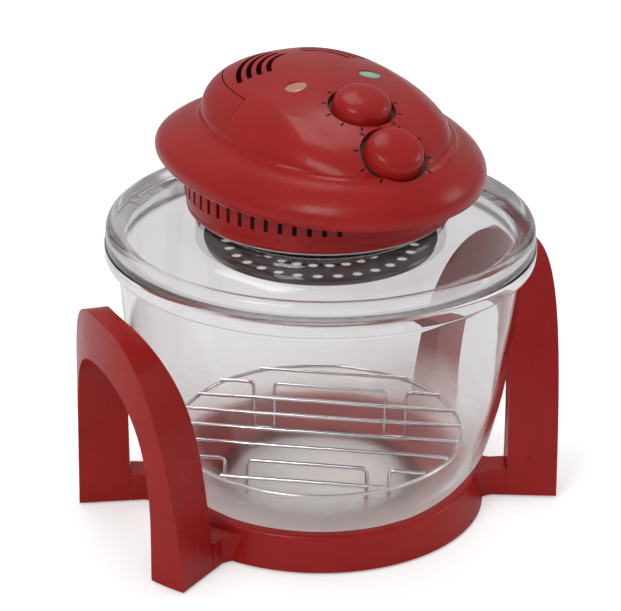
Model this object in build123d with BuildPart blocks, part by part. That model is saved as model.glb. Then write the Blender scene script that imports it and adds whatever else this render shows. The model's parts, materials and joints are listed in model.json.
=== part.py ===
from build123d import *
import math
import os

# Halogen oven: a plastic stand with two wrap-around arch handles, a glass bowl, a wire rack, and a
# lift-off glass lid that carries the heater and control head. Millimetres, +Z up. The origin is on
# the bowl's axis at the surface the oven stands on, and the controls face -Y.

os.makedirs("parts", exist_ok=True)

# ---------------------------------------------------------------- driving dimensions
slack = 0.3  # gap between loose neighbours
fit = 0.05  # radial gap of a pin, a screw or a shaft in its hole
plastic_wall = 3.0

# Stand
foot_height = 2.0
foot_radius = 6.5
foot_stem_radius = 2.0
foot_stem_length = 5.0
seat_height = 12.0  # the bowl's underside
seat_thickness = 3.0
seat_inner_radius = 70.0
ring_height = 29.5
ring_radius = 131.0  # outside, at the bottom
ring_draft = 6.5  # how much smaller the outside is at the top
ring_rounding = 4.0
rib_thickness = 2.5
spur_height = 24.4
spur_blend = 15.0
spur_root_radius = 123.0
spur_root_angle = 7.5
tongue_width = 14.0
tongue_height = 12.0
tongue_length = 24.0
tongue_root = 4.0
stand_screw_radius = 1.6
stand_screw_length = 22.0
screw_head_radius = 3.4
screw_head_height = 2.0

# Arch handles
arch_inner_radius = 150.0
arch_outer_radius = 190.0
arch_top_inset = 2.0
arch_lean = 21.0  # how far the inner face moves outwards at the top
arch_height = 192.0
arch_half_angle = 30.1
arch_spread_power = 3.0
arch_rise_power = 1.4
gap_height = 154.0
gap_half_angle = 20.8
gap_spread_power = 2.2
gap_rise_power = 3.6
arch_wall = 3.5
boss_radius = 5.0
boss_top = 34.0

# Glass bowl
bowl_wall = 5.0
bowl_floor_radius = 84.0
bowl_shoulder_radius = 114.0
bowl_top_radius = 156.0
bowl_height = 212.0
rim_radius = 165.0
rim_thickness = 12.5
bowl_gap = 2.6  # shoulder radius to the stand ring, which stands a little higher

# Wire rack
wire_radius = 1.5
rack_radius = 113.0
rack_height = 59.0
rack_pitch = 27.0
rack_turn = -36.0
rack_foot_inner = 46.0
rack_foot_outer = 63.0
rack_bend = 4.0
weld_sink = 0.4

# Glass lid
lid_glass = 4.5
lid_radius = 163.8
lid_hole_radius = 84.0
lid_flat_radius = 104.0
lid_rise = 24.0  # flat top above the bowl's rim
lid_bead_height = 14.5
lid_bead_inner = 149.0
lid_bead_dip = 9.5
lid_rib_depth = 5.0
lid_rib_gap = 1.5

# Clamped stack under the head
gasket = 1.4
sheet = 1.0
clamp_thickness = 1.5
clamp_radius = 96.0
clamp_inner_radius = 74.0
clamp_screw_circle = 79.0
chassis_thickness = 1.5
clamp_screw_radius = 2.0
flange_radius = 98.0

# Guard, heater and reflector
guard_radius = 96.0
guard_floor = 219.5
guard_corner = 8.0
guard_hole_radius = 4.0
guard_rows = ((72.0, 30), (52.0, 26), (36.0, 18))
heater_radius = 58.0
heater_tube = 5.0
heater_height = 229.5
heater_opening = 24.0
reflector_radius = 66.0
reflector_rise = 6.0
holder_width = 13.5

# Skirt under the head
skirt_radius = 104.0
skirt_corner = 6.0
skirt_top = 286.5
skirt_wall = 2.5
slot_width = 3.5
slot_pitch = 6.0
slot_low = 265.0
slot_high = 281.0
slot_free_front = 15.0
slot_free_rear = 9.0

# Head shell
shell = 2.5
brim_width = 115.0  # half, at the widest place
brim_length = 151.0  # half, at the front
brim_centre = 3.5
brim_lip = 283.5
brim_slide = 0.356  # how far the centre moves forward as the brim narrows
brim_taper = 1.08
brim_rows = ((2.2, 0.0), (0.0, 3.5), (0.5, 10.5), (5.5, 17.5), (13.5, 24.0), (22.0, 28.5), (27.5, 32.7))
dome_width = 85.4
dome_length = 119.5
dome_height = 43.3
dome_centre = -6.3
dome_base = 313.3
dome_tilt = 5.3
rear_share = 0.87
rear_power = 2.4
dome_steps = (0, 12, 24, 36, 48, 59, 69, 78, 87)

# Carry handle, folded round the back of the dome
hinge_y = 9.0
hinge_z = 334.5
handle_top = 342.5
handle_bottom = 323.0
heel_radius = 9.8
heel_gap = 0.8
handle_gap = 0.8
handle_floor_gap = 0.5
handle_hollow_start = 30.0
pin_radius = 3.0
pin_inner = 54.0
pin_outer = 71.0
pin_boss_radius = 6.0

# Controls
timer_spot = (0.0, -60.0, 345.0)
timer_tilt = 17.0
thermostat_spot = (0.0, -108.0, 325.0)
thermostat_tilt = 30.0
knob_radius = 21.3
knob_height = 14.0
knob_wall = 2.2
well_radius = 25.2
well_depth = 4.0
dial_thickness = 0.8
bush_radius = 4.8
bush_top = -0.7
control_shaft_radius = 3.0
timer_size = 42.0
timer_depth = 26.0
thermostat_radius = 17.0
thermostat_depth = 18.0
lens_spot = (31.0, -16.5, 352.7)
lens_tilt = 11.0
lens_radius = 8.0
lens_bulge = 1.1

# Louvres in the rear cap
louvre_centre_y = 12.0
louvre_radii = (57.0, 49.5, 42.0, 34.5)
louvre_width = 4.0
louvre_start = 105.0
louvre_sweep = 60.0

# Motor and fans
shaft_radius = 3.0
shaft_bottom = 222.0
shaft_top = 306.0
core_low = 266.0
core_high = 284.0
core_half_width = 26.0
core_front = -18.0
core_rear = 38.0
core_leg = 10.0
rotor_radius = 12.5
rotor_gap = 0.5
bracket_thickness = 2.0
bearing_length = 5.0
bearing_radius = 6.5
post_spot = 20.5
post_radius = 3.5
convection_fan_radius = 48.0
convection_fan_low = 226.0
convection_fan_high = 236.0
cooling_fan_radius = 44.0
cooling_fan_low = 293.5
cooling_fan_high = 302.5
blade_thickness = 1.2

# Housing screws, safety switch, cord gland
screw_posts = ((64.0, -96.0), (66.0, 86.0))
housing_screw_radius = 1.6
housing_screw_length = 10.0
button_y = 88.0
button_radius = 2.9
button_flange = 3.9
switch_size = (22.0, 10.0, 14.0)
gland_height = 272.0
gland_radius = 5.9
gland_bore = 3.6

# ---------------------------------------------------------------- derived levels
rim_top = seat_height + bowl_height
ring_inner_radius = bowl_shoulder_radius + bowl_gap
lid_top = rim_top + lid_rise
glass_under = lid_top - lid_glass
clamp_top = glass_under - gasket
clamp_bottom = clamp_top - clamp_thickness
guard_flange_bottom = clamp_bottom - sheet
reflector_flange_bottom = guard_flange_bottom - sheet
flange_bottom = lid_top + gasket
chassis_bottom = flange_bottom + skirt_wall
chassis_top = chassis_bottom + chassis_thickness
reflector_top = guard_flange_bottom + reflector_rise
leg_angle = (arch_half_angle + gap_half_angle) / 2
leg_half_angle = (arch_half_angle - gap_half_angle) / 2


# ---------------------------------------------------------------- helpers
def upright_plane(angle):
    """Plane through the Z axis: local x points outwards at the angle, local y is up."""
    turn = math.radians(angle)
    outwards = (math.cos(turn), math.sin(turn), 0)
    sideways = (math.sin(turn), -math.cos(turn), 0)
    return Plane((0, 0, 0), x_dir=outwards, z_dir=sideways)


def radial_plane(angle, height=0.0):
    """Level plane whose local x points outwards at the angle."""
    turn = math.radians(angle)
    return Plane((0, 0, height), x_dir=(math.cos(turn), math.sin(turn), 0))


def tilted_plane(spot, tilt, depth=0.0, side=0.0):
    """Plane at a spot of the dome, leaning forwards by tilt and sideways by side degrees."""
    lean, roll = math.radians(tilt), math.radians(side)
    normal = Vector(math.sin(roll), -math.sin(lean) * math.cos(roll), math.cos(lean) * math.cos(roll))
    across = Vector(math.cos(roll), 0, -math.sin(roll))
    return Plane(Vector(*spot) + normal * depth, x_dir=across, z_dir=normal)


def inset(points, depth):
    """The points of a profile moved to the left of its run by depth."""
    moved = []
    for index, (x, y) in enumerate(points):
        before = points[max(index - 1, 0)]
        after = points[min(index + 1, len(points) - 1)]
        run_x, run_y = after[0] - before[0], after[1] - before[1]
        length = math.hypot(run_x, run_y)
        moved.append((x - depth * run_y / length, y + depth * run_x / length))
    return moved


def height_on(edge, radius):
    """Height of a rising profile edge at a radius."""
    low, high = 0.0, 1.0
    for _ in range(40):
        middle = (low + high) / 2
        if edge.position_at(middle).X < radius:
            low = middle
        else:
            high = middle
    return edge.position_at(low).Y


def egg(half_width, half_length, centre_y, count=32):
    """Outline of the head: an ellipse in front, a shorter and fuller curve behind."""
    points = []
    for step in range(count):
        turn = 2 * math.pi * step / count
        across, along = math.cos(turn), math.sin(turn)
        if along > 0:
            across = math.copysign(abs(across) ** (2 / rear_power), across)
            along = rear_share * along ** (2 / rear_power)
        points.append((half_width * across, centre_y + half_length * along))
    return points


def egg_face(height, half_width, half_length, centre_y):
    """A closed egg outline at a height."""
    with BuildSketch(Plane.XY.offset(height)) as section:
        with BuildLine():
            Spline(*egg(half_width, half_length, centre_y), periodic=True)
        make_face()
    return section.sketch


def dome_section(height, depth=0.0):
    """Half width, half length and centre of the dome at a height, depth mm inside its skin."""
    width, length, rise = dome_width - depth, dome_length - depth, dome_height - depth
    lean = math.radians(dome_tilt)
    along = math.cos(lean) ** 2 / length**2 + math.sin(lean) ** 2 / rise**2
    mixed = math.sin(lean) * math.cos(lean) * (1 / length**2 - 1 / rise**2)
    upright = math.sin(lean) ** 2 / length**2 + math.cos(lean) ** 2 / rise**2
    lift = max(height - dome_base, 0)
    share = math.sqrt(max(1 - (upright - mixed**2 / along) * lift**2, 0))
    return width * share, share / math.sqrt(along), dome_centre - mixed * lift / along


def dome_crown(depth=0.0):
    """Height of the dome's top above its base."""
    width, length, rise = dome_width - depth, dome_length - depth, dome_height - depth
    lean = math.radians(dome_tilt)
    along = math.cos(lean) ** 2 / length**2 + math.sin(lean) ** 2 / rise**2
    mixed = math.sin(lean) * math.cos(lean) * (1 / length**2 - 1 / rise**2)
    upright = math.sin(lean) ** 2 / length**2 + math.cos(lean) ** 2 / rise**2
    return 1 / math.sqrt(upright - mixed**2 / along)


def brim_section(narrowing):
    """Half width, half length and centre of the brim where it is narrowing mm slimmer than its widest."""
    return (
        brim_width - narrowing,
        brim_length - narrowing * brim_taper,
        brim_centre - narrowing * brim_slide,
    )


# ---------------------------------------------------------------- stand
leg_angles = (leg_angle, 180 - leg_angle, 180 + leg_angle, 360 - leg_angle)
ring_at_spur = ring_radius - ring_draft * (spur_height - foot_height) / (ring_height - foot_height)
tongue_middle = arch_inner_radius - slack + tongue_length / 2
screw_spot = arch_inner_radius + tongue_length - slack - screw_head_radius - plastic_wall
foot_spot = arch_inner_radius + foot_radius

with BuildPart() as base_ring:
    # Ring: a channel open below, with an inner ledge that the bowl sits on
    with BuildSketch(Plane.XZ):
        with BuildLine():
            Polyline(
                (ring_radius, foot_height),
                (ring_radius - ring_draft, ring_height),
                (ring_inner_radius, ring_height),
                (ring_inner_radius, seat_height),
                (seat_inner_radius, seat_height),
                (seat_inner_radius, seat_height - seat_thickness),
                (ring_inner_radius + plastic_wall, seat_height - seat_thickness),
                (ring_inner_radius + plastic_wall, ring_height - plastic_wall),
                (ring_radius - ring_draft - plastic_wall, ring_height - plastic_wall),
                (ring_radius - plastic_wall, foot_height),
                close=True,
            )
        make_face()
    revolve(axis=Axis.Z)
    top_edges = base_ring.edges().filter_by(GeomType.CIRCLE).group_by(Axis.Z)[-1]
    fillet(top_edges.sort_by(SortBy.RADIUS)[-1], radius=ring_rounding - 1)
    # Four spurs reach out to the arch handles. Each is hollow from below, blends into the ring in
    # plan, and ends in a solid tongue that enters the handle's leg
    for angle in leg_angles:
        radial = radial_plane(angle, foot_height)
        with BuildSketch(radial):
            with BuildLine():
                root_turn = math.radians(leg_half_angle + spur_root_angle)
                root = Vector(spur_root_radius * math.cos(root_turn), spur_root_radius * math.sin(root_turn))
                side_slope = math.tan(math.radians(leg_half_angle))
                side = Vector(spur_root_radius + spur_blend, (spur_root_radius + spur_blend) * side_slope)
                corner = Vector(ring_at_spur, ring_at_spur * side_slope)
                tip = Vector(arch_inner_radius - 2 * slack, (arch_inner_radius - 2 * slack) * side_slope)
                middle = (root + side) * 0.5
                blend = middle + (corner - middle) * 0.3
                ThreePointArc(root, blend, side)
                Line(side, tip)
                Line(tip, (tip.X, -tip.Y))
                Line((tip.X, -tip.Y), (side.X, -side.Y))
                ThreePointArc((side.X, -side.Y), (blend.X, -blend.Y), (root.X, -root.Y))
                Line((root.X, -root.Y), root)
            make_face()
        extrude(amount=spur_height - foot_height)
        with BuildSketch(radial):
            with Locations((ring_radius + tongue_height / 2, 0)):
                Rectangle(tongue_height, tongue_width)
        extrude(amount=spur_height - foot_height - plastic_wall, mode=Mode.SUBTRACT)
        with BuildSketch(radial):
            with Locations((tongue_middle - tongue_root / 2, 0)):
                Rectangle(tongue_length + tongue_root, tongue_width)
        extrude(amount=tongue_height - foot_height)
        with BuildSketch(radial):
            with Locations((screw_spot, 0)):
                Circle(stand_screw_radius + fit)
            with Locations((foot_spot, 0)):
                Circle(foot_stem_radius + fit)
        extrude(amount=tongue_height, mode=Mode.SUBTRACT)
        with BuildSketch(radial):
            with Locations((screw_spot, 0)):
                Circle(screw_head_radius + fit)
        extrude(amount=screw_head_height + slack, mode=Mode.SUBTRACT)


def arch_outline(plane_x, half_angle, apex, spread_power, rise_power, steps=8):
    """Inverted U on the plane x = plane_x; it widens with x, so its sides point at the Z axis."""
    points = []
    for step in range(-steps, steps + 1):
        turn = math.pi / 2 * step / steps
        reach = math.copysign(abs(math.sin(turn)) ** (2 / spread_power), turn) * half_angle
        height = apex * math.cos(turn) ** (2 / rise_power) if abs(step) < steps else 0.0
        points.append((plane_x * math.tan(math.radians(reach)), height))
    return points


def arch_shape(depth):
    """The right arch with every face moved inwards by depth."""
    turn_in = math.degrees(depth / arch_inner_radius)
    with BuildPart() as shape:
        with BuildSketch(upright_plane(-45)):
            with BuildLine():
                inner_low = (arch_inner_radius + depth, 0)
                inner_bend = (arch_inner_radius + depth, arch_height / 2)
                inner_top = (arch_inner_radius + arch_lean + depth, arch_height)
                outer_top = (arch_outer_radius - arch_top_inset - depth, arch_height)
                outer_low = (arch_outer_radius - depth, 0)
                Line(inner_low, inner_bend)
                TangentArc(inner_bend, inner_top, tangent=(0, 1))
                Line(inner_top, outer_top)
                Line(outer_top, outer_low)
                Line(outer_low, inner_low)
            make_face()
        revolve(axis=Axis.Z, revolution_arc=90)
        near, far = arch_inner_radius * 0.8, arch_outer_radius * 1.1
        for plane_x in (near, far):
            with BuildSketch(Plane.YZ.offset(plane_x)):
                with BuildLine():
                    outline = Spline(
                        *arch_outline(
                            plane_x,
                            arch_half_angle - turn_in,
                            arch_height - depth,
                            arch_spread_power,
                            arch_rise_power,
                        )
                    )
                    Line(outline @ 1, outline @ 0)
                make_face()
        loft(ruled=True, mode=Mode.INTERSECT)
        for plane_x in (near, far):
            with BuildSketch(Plane.YZ.offset(plane_x)):
                with BuildLine():
                    outline = Spline(
                        *arch_outline(
                            plane_x,
                            gap_half_angle + turn_in,
                            gap_height + depth,
                            gap_spread_power,
                            gap_rise_power,
                        )
                    )
                    Line(outline @ 1, outline @ 0)
                make_face()
        loft(ruled=True, mode=Mode.SUBTRACT)
    return shape.part


right_arch = arch_shape(0.0)
arch_hollow = arch_shape(arch_wall)

with BuildPart() as arch_handle_right:
    add(right_arch)
    add(arch_hollow, mode=Mode.SUBTRACT)
    # Each leg stops at the feet's height; screw boss on a cross rib; window for the tongue
    with BuildSketch(Plane.XY):
        with Locations((arch_outer_radius, 0)):
            Rectangle(arch_outer_radius, arch_outer_radius * 2)
    extrude(amount=foot_height, mode=Mode.SUBTRACT)
    for angle in (leg_angle, -leg_angle):
        boss_plane = radial_plane(angle, tongue_height + slack)
        rib_length = 2 * screw_spot * math.sin(math.radians(leg_half_angle)) - arch_wall
        with BuildSketch(boss_plane):
            with Locations((screw_spot, 0)):
                Circle(boss_radius)
                Rectangle(rib_thickness, rib_length)
        extrude(amount=boss_top - tongue_height)
        with BuildSketch(boss_plane):
            with Locations((screw_spot, 0)):
                Circle(stand_screw_radius + fit)
        extrude(amount=stand_screw_length, mode=Mode.SUBTRACT)
        with BuildSketch(radial_plane(angle, foot_height)):
            with Locations((tongue_middle, 0)):
                Rectangle(tongue_length + slack, tongue_width + 2 * slack)
        extrude(amount=tongue_height - foot_height + slack, mode=Mode.SUBTRACT)

with BuildPart() as arch_handle_left:
    add(arch_handle_right.part)
    mirror(about=Plane.YZ, mode=Mode.REPLACE)

with BuildPart() as stand_screws:
    for angle in leg_angles:
        with BuildSketch(radial_plane(angle, foot_height + slack)):
            with Locations((screw_spot, 0)):
                Circle(screw_head_radius)
        extrude(amount=screw_head_height)
        with BuildSketch(radial_plane(angle, foot_height + slack)):
            with Locations((screw_spot, 0)):
                Circle(stand_screw_radius)
        extrude(amount=stand_screw_length)

with BuildPart() as rubber_feet:
    for angle in leg_angles:
        with BuildSketch(radial_plane(angle)):
            with Locations((foot_spot, 0)):
                Circle(foot_radius)
        extrude(amount=foot_height)
        with BuildSketch(radial_plane(angle)):
            with Locations((foot_spot, 0)):
                Circle(foot_stem_radius)
        extrude(amount=foot_height + foot_stem_length)


# ---------------------------------------------------------------- glass bowl
bowl_side = [
    (bowl_floor_radius, seat_height),
    (bowl_shoulder_radius, seat_height + 16.0),
    (bowl_shoulder_radius + 15.0, seat_height + 35.0),
    (bowl_top_radius - 15.0, seat_height + 74.0),
    (bowl_top_radius - 5.5, seat_height + 139.0),
    (bowl_top_radius, rim_top - rim_thickness),
]
bowl_inside = inset(bowl_side, bowl_wall)
bowl_mouth = bowl_inside[-1][0]

with BuildPart() as glass_bowl:
    with BuildSketch(Plane.XZ):
        with BuildLine():
            outside = Spline(*bowl_side, tangents=((1, 0.12), (0.1, 1)))
            Polyline(
                (bowl_top_radius, rim_top - rim_thickness),
                (rim_radius, rim_top - rim_thickness),
                (rim_radius, rim_top),
                (bowl_mouth, rim_top),
                bowl_inside[-1],
            )
            bowl_inner_line = Spline(*bowl_inside, tangents=((1, 0.12), (0.1, 1)))
            Polyline(
                bowl_inside[0],
                (0, seat_height + bowl_wall),
                (0, seat_height),
                (bowl_floor_radius, seat_height),
            )
        make_face()
    revolve(axis=Axis.Z)
    rim_edges = glass_bowl.edges().filter_by(GeomType.CIRCLE).filter_by(
        lambda edge: edge.radius > rim_radius - fit
    )
    fillet(rim_edges, radius=rim_thickness / 4)

# ---------------------------------------------------------------- wire rack
rack_foot_reach = math.hypot(rack_foot_outer - rack_bend, 2.5 * rack_pitch) + wire_radius
rack_foot_height = height_on(bowl_inner_line, rack_foot_reach) + slack + wire_radius
wire_height = rack_height + 2 * wire_radius - weld_sink


def rack_wire_end(offset):
    """Half length of a cross wire that ends on the ring."""
    return math.sqrt(rack_radius**2 - offset**2)


with BuildPart() as rack_ring:
    with BuildSketch(Plane.XZ):
        with Locations((rack_radius, rack_height)):
            Circle(wire_radius)
    revolve(axis=Axis.Z)

with BuildPart() as rack_wires:
    for count in (-3.5, -1.5, -0.5, 0.5, 1.5, 3.5):
        offset = count * rack_pitch
        half = rack_wire_end(offset)
        frame = Plane((0, 0, wire_height)).rotated((0, 0, rack_turn))
        wire_start = frame.from_local_coords(Vector(-half, offset, 0))
        across = Plane(wire_start, x_dir=frame.y_dir, z_dir=frame.x_dir)
        with BuildSketch(across):
            Circle(wire_radius)
        extrude(amount=2 * half)

with BuildPart() as rack_legs:
    for count in (-2.5, 2.5):
        offset = count * rack_pitch
        half = rack_wire_end(offset)
        turned = Plane((0, 0, 0)).rotated((0, 0, rack_turn))
        wall = Plane(turned.from_local_coords(Vector(0, offset, 0)), x_dir=turned.x_dir, z_dir=-turned.y_dir)
        stops = [
            (-half, wire_height),
            (-rack_foot_outer, wire_height),
            (-rack_foot_outer, rack_foot_height),
            (-rack_foot_inner, rack_foot_height),
            (-rack_foot_inner, wire_height),
            (rack_foot_inner, wire_height),
            (rack_foot_inner, rack_foot_height),
            (rack_foot_outer, rack_foot_height),
            (rack_foot_outer, wire_height),
            (half, wire_height),
        ]
        with BuildLine(wall) as run:
            FilletPolyline(*stops, radius=rack_bend)
        with BuildSketch(Plane(run.line @ 0, z_dir=run.line % 0)):
            Circle(wire_radius)
        sweep(path=run.line)

# ---------------------------------------------------------------- glass lid and its clamp
lid_side_radius = lid_radius - lid_bead_height / 3
with BuildPart() as glass_lid:
    with BuildSketch(Plane.XZ):
        with BuildLine():
            rib_outer = bowl_mouth - lid_rib_gap
            bead_foot = (lid_bead_inner, rim_top + lid_bead_dip)
            Line((lid_hole_radius, lid_top), (lid_flat_radius, lid_top))
            Spline((lid_flat_radius, lid_top), bead_foot, tangents=((1, 0), (0.75, -0.66)))
            Spline(
                bead_foot,
                (lid_side_radius, rim_top + lid_bead_height),
                (lid_radius, rim_top + lid_bead_height / 2),
                tangents=((0.75, 0.5), (0, -1)),
            )
            Polyline(
                (lid_radius, rim_top + lid_bead_height / 2),
                (lid_radius, rim_top),
                (rib_outer, rim_top),
                (rib_outer, rim_top - lid_rib_depth),
                (rib_outer - lid_glass, rim_top - lid_rib_depth),
                (rib_outer - lid_glass, rim_top + lid_bead_dip - lid_glass),
            )
            Spline(
                (rib_outer - lid_glass, rim_top + lid_bead_dip - lid_glass),
                (lid_flat_radius, glass_under),
                tangents=((-0.75, 0.66), (-1, 0)),
            )
            Polyline(
                (lid_flat_radius, glass_under),
                (lid_hole_radius, glass_under),
                (lid_hole_radius, lid_top),
            )
        make_face()
    revolve(axis=Axis.Z)


def flat_ring(inner, outer, low, high):
    """A flat ring between two levels."""
    with BuildPart() as ring:
        with BuildSketch(Plane.XY.offset(low)):
            Circle(outer)
            Circle(inner, mode=Mode.SUBTRACT)
        extrude(amount=high - low)
    return ring.part


with BuildPart() as lid_gasket_upper:
    add(flat_ring(lid_hole_radius + 1, flange_radius, lid_top, flange_bottom))

with BuildPart() as lid_gasket_lower:
    add(flat_ring(lid_hole_radius + 1, clamp_radius, clamp_top, glass_under))

with BuildPart() as clamp_ring:
    add(flat_ring(clamp_inner_radius, clamp_radius, clamp_bottom, clamp_top))
    with BuildSketch(Plane.XY.offset(clamp_bottom)):
        with PolarLocations(clamp_screw_circle, 4, start_angle=45):
            Circle(clamp_screw_radius + fit)
    extrude(amount=clamp_thickness, mode=Mode.SUBTRACT)

with BuildPart() as element_guard:
    # Dish with an inward flange under the clamp ring
    with BuildSketch(Plane.XZ):
        with BuildLine():
            wall_foot = guard_floor + guard_corner
            Line((0, guard_floor), (guard_radius - guard_corner, guard_floor))
            RadiusArc(
                (guard_radius - guard_corner, guard_floor),
                (guard_radius, wall_foot),
                guard_corner,
                short_sagitta=True,
            )
            Polyline(
                (guard_radius, wall_foot),
                (guard_radius, clamp_bottom),
                (clamp_inner_radius, clamp_bottom),
                (clamp_inner_radius, guard_flange_bottom),
                (guard_radius - sheet, guard_flange_bottom),
                (guard_radius - sheet, wall_foot),
            )
            RadiusArc(
                (guard_radius - sheet, wall_foot),
                (guard_radius - guard_corner, guard_floor + sheet),
                1 - guard_corner,
                short_sagitta=True,
            )
            Polyline(
                (guard_radius - guard_corner, guard_floor + sheet),
                (0, guard_floor + sheet),
                (0, guard_floor),
            )
        make_face()
    revolve(axis=Axis.Z)
    with BuildSketch(Plane.XY.offset(guard_floor)):
        for row_radius, holes in guard_rows:
            with PolarLocations(row_radius, holes):
                Circle(guard_hole_radius)
    extrude(amount=sheet, mode=Mode.SUBTRACT)
    with BuildSketch(Plane.XY.offset(guard_flange_bottom)):
        with PolarLocations(clamp_screw_circle, 4, start_angle=45):
            Circle(clamp_screw_radius + fit)
    extrude(amount=sheet, mode=Mode.SUBTRACT)

# ---------------------------------------------------------------- reflector, heater and chassis
with BuildPart() as reflector:
    flange_outer = lid_hole_radius
    flange_top = reflector_flange_bottom + sheet
    slope_foot = reflector_radius + reflector_rise
    with BuildSketch(Plane.XZ):
        Polygon(
            (flange_outer, reflector_flange_bottom),
            (flange_outer, flange_top),
            (slope_foot, flange_top),
            (reflector_radius, reflector_top),
            (2 * shaft_radius, reflector_top),
            (2 * shaft_radius, reflector_top - sheet),
            (reflector_radius - sheet / 2, reflector_top - sheet),
            (slope_foot - sheet / 2, reflector_flange_bottom),
            align=None,
        )
    revolve(axis=Axis.Z)
    with BuildSketch(Plane.XY.offset(reflector_flange_bottom)):
        with PolarLocations(clamp_screw_circle, 4, start_angle=45):
            Circle(clamp_screw_radius + fit)
    extrude(amount=sheet, mode=Mode.SUBTRACT)

with BuildPart() as insulation_disc:
    add(flat_ring(2 * shaft_radius, reflector_radius - 2 * sheet, reflector_top, chassis_bottom))

with BuildPart() as chassis_plate:
    add(flat_ring(2 * shaft_radius, flange_radius - 1, chassis_bottom, chassis_top))
    with BuildSketch(Plane.XY.offset(chassis_bottom)):
        with PolarLocations(clamp_screw_circle, 4, start_angle=45):
            Circle(clamp_screw_radius + fit)
        with PolarLocations(flange_radius - 4 * gasket, 3, start_angle=30):
            Circle(housing_screw_radius + fit)
    extrude(amount=chassis_thickness, mode=Mode.SUBTRACT)

with BuildPart() as clamp_screws:
    for level, radius, height in (
        (reflector_flange_bottom - screw_head_height, screw_head_radius, screw_head_height),
        (reflector_flange_bottom, clamp_screw_radius, chassis_top - reflector_flange_bottom),
        (chassis_top, screw_head_radius, screw_head_height),
    ):
        with BuildSketch(Plane.XY.offset(level)):
            with PolarLocations(clamp_screw_circle, 4, start_angle=45):
                Circle(radius)
        extrude(amount=height)

with BuildPart() as skirt_screws:
    with BuildSketch(Plane.XY.offset(chassis_top)):
        with PolarLocations(flange_radius - 4 * gasket, 3, start_angle=30):
            Circle(screw_head_radius - fit)
    extrude(amount=screw_head_height)
    with BuildSketch(Plane.XY.offset(flange_bottom + sheet)):
        with PolarLocations(flange_radius - 4 * gasket, 3, start_angle=30):
            Circle(housing_screw_radius)
    extrude(amount=chassis_top - flange_bottom - sheet)

holder_low = heater_height + heater_tube + sheet
with BuildPart() as heater_ring:
    # Open quartz ring; both ends turn up into the lamp holders
    ring_plane = upright_plane(heater_opening / 2 + 90)
    with BuildSketch(ring_plane):
        with Locations((heater_radius, heater_height)):
            Circle(heater_tube)
    revolve(axis=Axis.Z, revolution_arc=360 - heater_opening)
    for turn in (90 - heater_opening / 2, 90 + heater_opening / 2):
        end = Plane(
            (
                heater_radius * math.cos(math.radians(turn)),
                heater_radius * math.sin(math.radians(turn)),
                heater_height,
            )
        )
        with BuildSketch(end):
            Circle(heater_tube)
        extrude(amount=holder_low + heater_tube - heater_height)
        with Locations(end.location):
            Sphere(heater_tube)

with BuildPart() as lamp_holders:
    for turn in (90 - heater_opening / 2, 90 + heater_opening / 2):
        with BuildSketch(radial_plane(turn, holder_low)):
            with Locations((heater_radius, 0)):
                RectangleRounded(holder_width, holder_width, 1)
        extrude(amount=reflector_top - sheet - holder_low)
        with BuildSketch(radial_plane(turn, holder_low)):
            with Locations((heater_radius, 0)):
                Circle(heater_tube + fit)
        extrude(amount=heater_tube + fit, mode=Mode.SUBTRACT)

# ---------------------------------------------------------------- head shell
def brim_loft(depth):
    """The flared brim, from its lip to the groove under the dome, depth mm inside its skin."""
    profile = [(brim_width - narrowing, brim_lip + rise) for narrowing, rise in brim_rows]
    rows = inset(profile, depth)
    if depth:
        rows[0] = (rows[0][0], brim_lip - shell)
    outlines = [egg_face(height, *brim_section(brim_width - half_width)) for half_width, height in rows]
    with BuildPart() as form:
        loft(sections=outlines)
    return form.part


def dome_loft(depth):
    """The tilted dome, from inside the brim to its crown, depth mm inside its skin."""
    outlines = [egg_face(brim_lip + brim_rows[-2][1] - 4 * depth, *dome_section(dome_base, depth))]
    for step in dome_steps[1:]:
        height = dome_base + dome_crown(depth) * math.sin(math.radians(step))
        outlines.append(egg_face(height, *dome_section(height, depth)))
    with BuildPart() as form:
        loft(sections=outlines)
    return form.part


handle_inner = dome_section(handle_top)


def handle_column(depth, low, high):
    """The part of the dome that the folded handle wraps, depth mm inside the handle's inner wall."""
    half_width, half_length, centre_y = handle_inner
    outline = egg_face(low, half_width - depth, half_length - depth, centre_y)
    with BuildPart() as form:
        extrude(outline, amount=high - low)
    return form.part


def handle_block(top, bottom, heel, front, swing=0.0):
    """Everything behind the pivot line between two levels, with a round heel about the pivot.

    Swing is how far the room for the raised handle's top face reaches in front of the pivot.
    """
    reach = brim_length * 2
    with BuildPart() as form:
        with BuildSketch(Plane.YZ.offset(-reach / 2)):
            with Locations((front + reach / 2, (top + bottom) / 2)):
                Rectangle(reach, top - bottom)
            with Locations((hinge_y, hinge_z)):
                Circle(heel)
            if swing:
                with Locations((hinge_y - swing / 2, (hinge_z + top) / 2)):
                    Rectangle(swing, top - hinge_z)
        extrude(amount=reach)
    return form.part


dome_skin = dome_loft(0.0)
dome_core = dome_loft(shell)
recess_top = handle_top + handle_gap
recess_bottom = handle_bottom - handle_floor_gap
handle_swing = handle_top - hinge_z + slack
pocket = handle_block(
    recess_top, recess_bottom, heel_radius + heel_gap, hinge_y, handle_swing
) - handle_column(handle_gap, recess_bottom - 2 * heel_radius, recess_top + 2 * heel_radius)
pocket_wall = handle_block(
    recess_top + shell, recess_bottom - shell, heel_radius + heel_gap + shell, hinge_y, handle_swing + shell
) - handle_column(handle_gap + shell, recess_bottom - 2 * heel_radius, recess_top + 2 * heel_radius)
inner_core = dome_core - pocket_wall

timer_plane = tilted_plane(timer_spot, timer_tilt)
thermostat_plane = tilted_plane(thermostat_spot, thermostat_tilt)
lens_planes = [
    tilted_plane(lens_spot, 0, side=lens_tilt),
    tilted_plane((-lens_spot[0], lens_spot[1], lens_spot[2]), 0, side=-lens_tilt),
]

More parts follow.
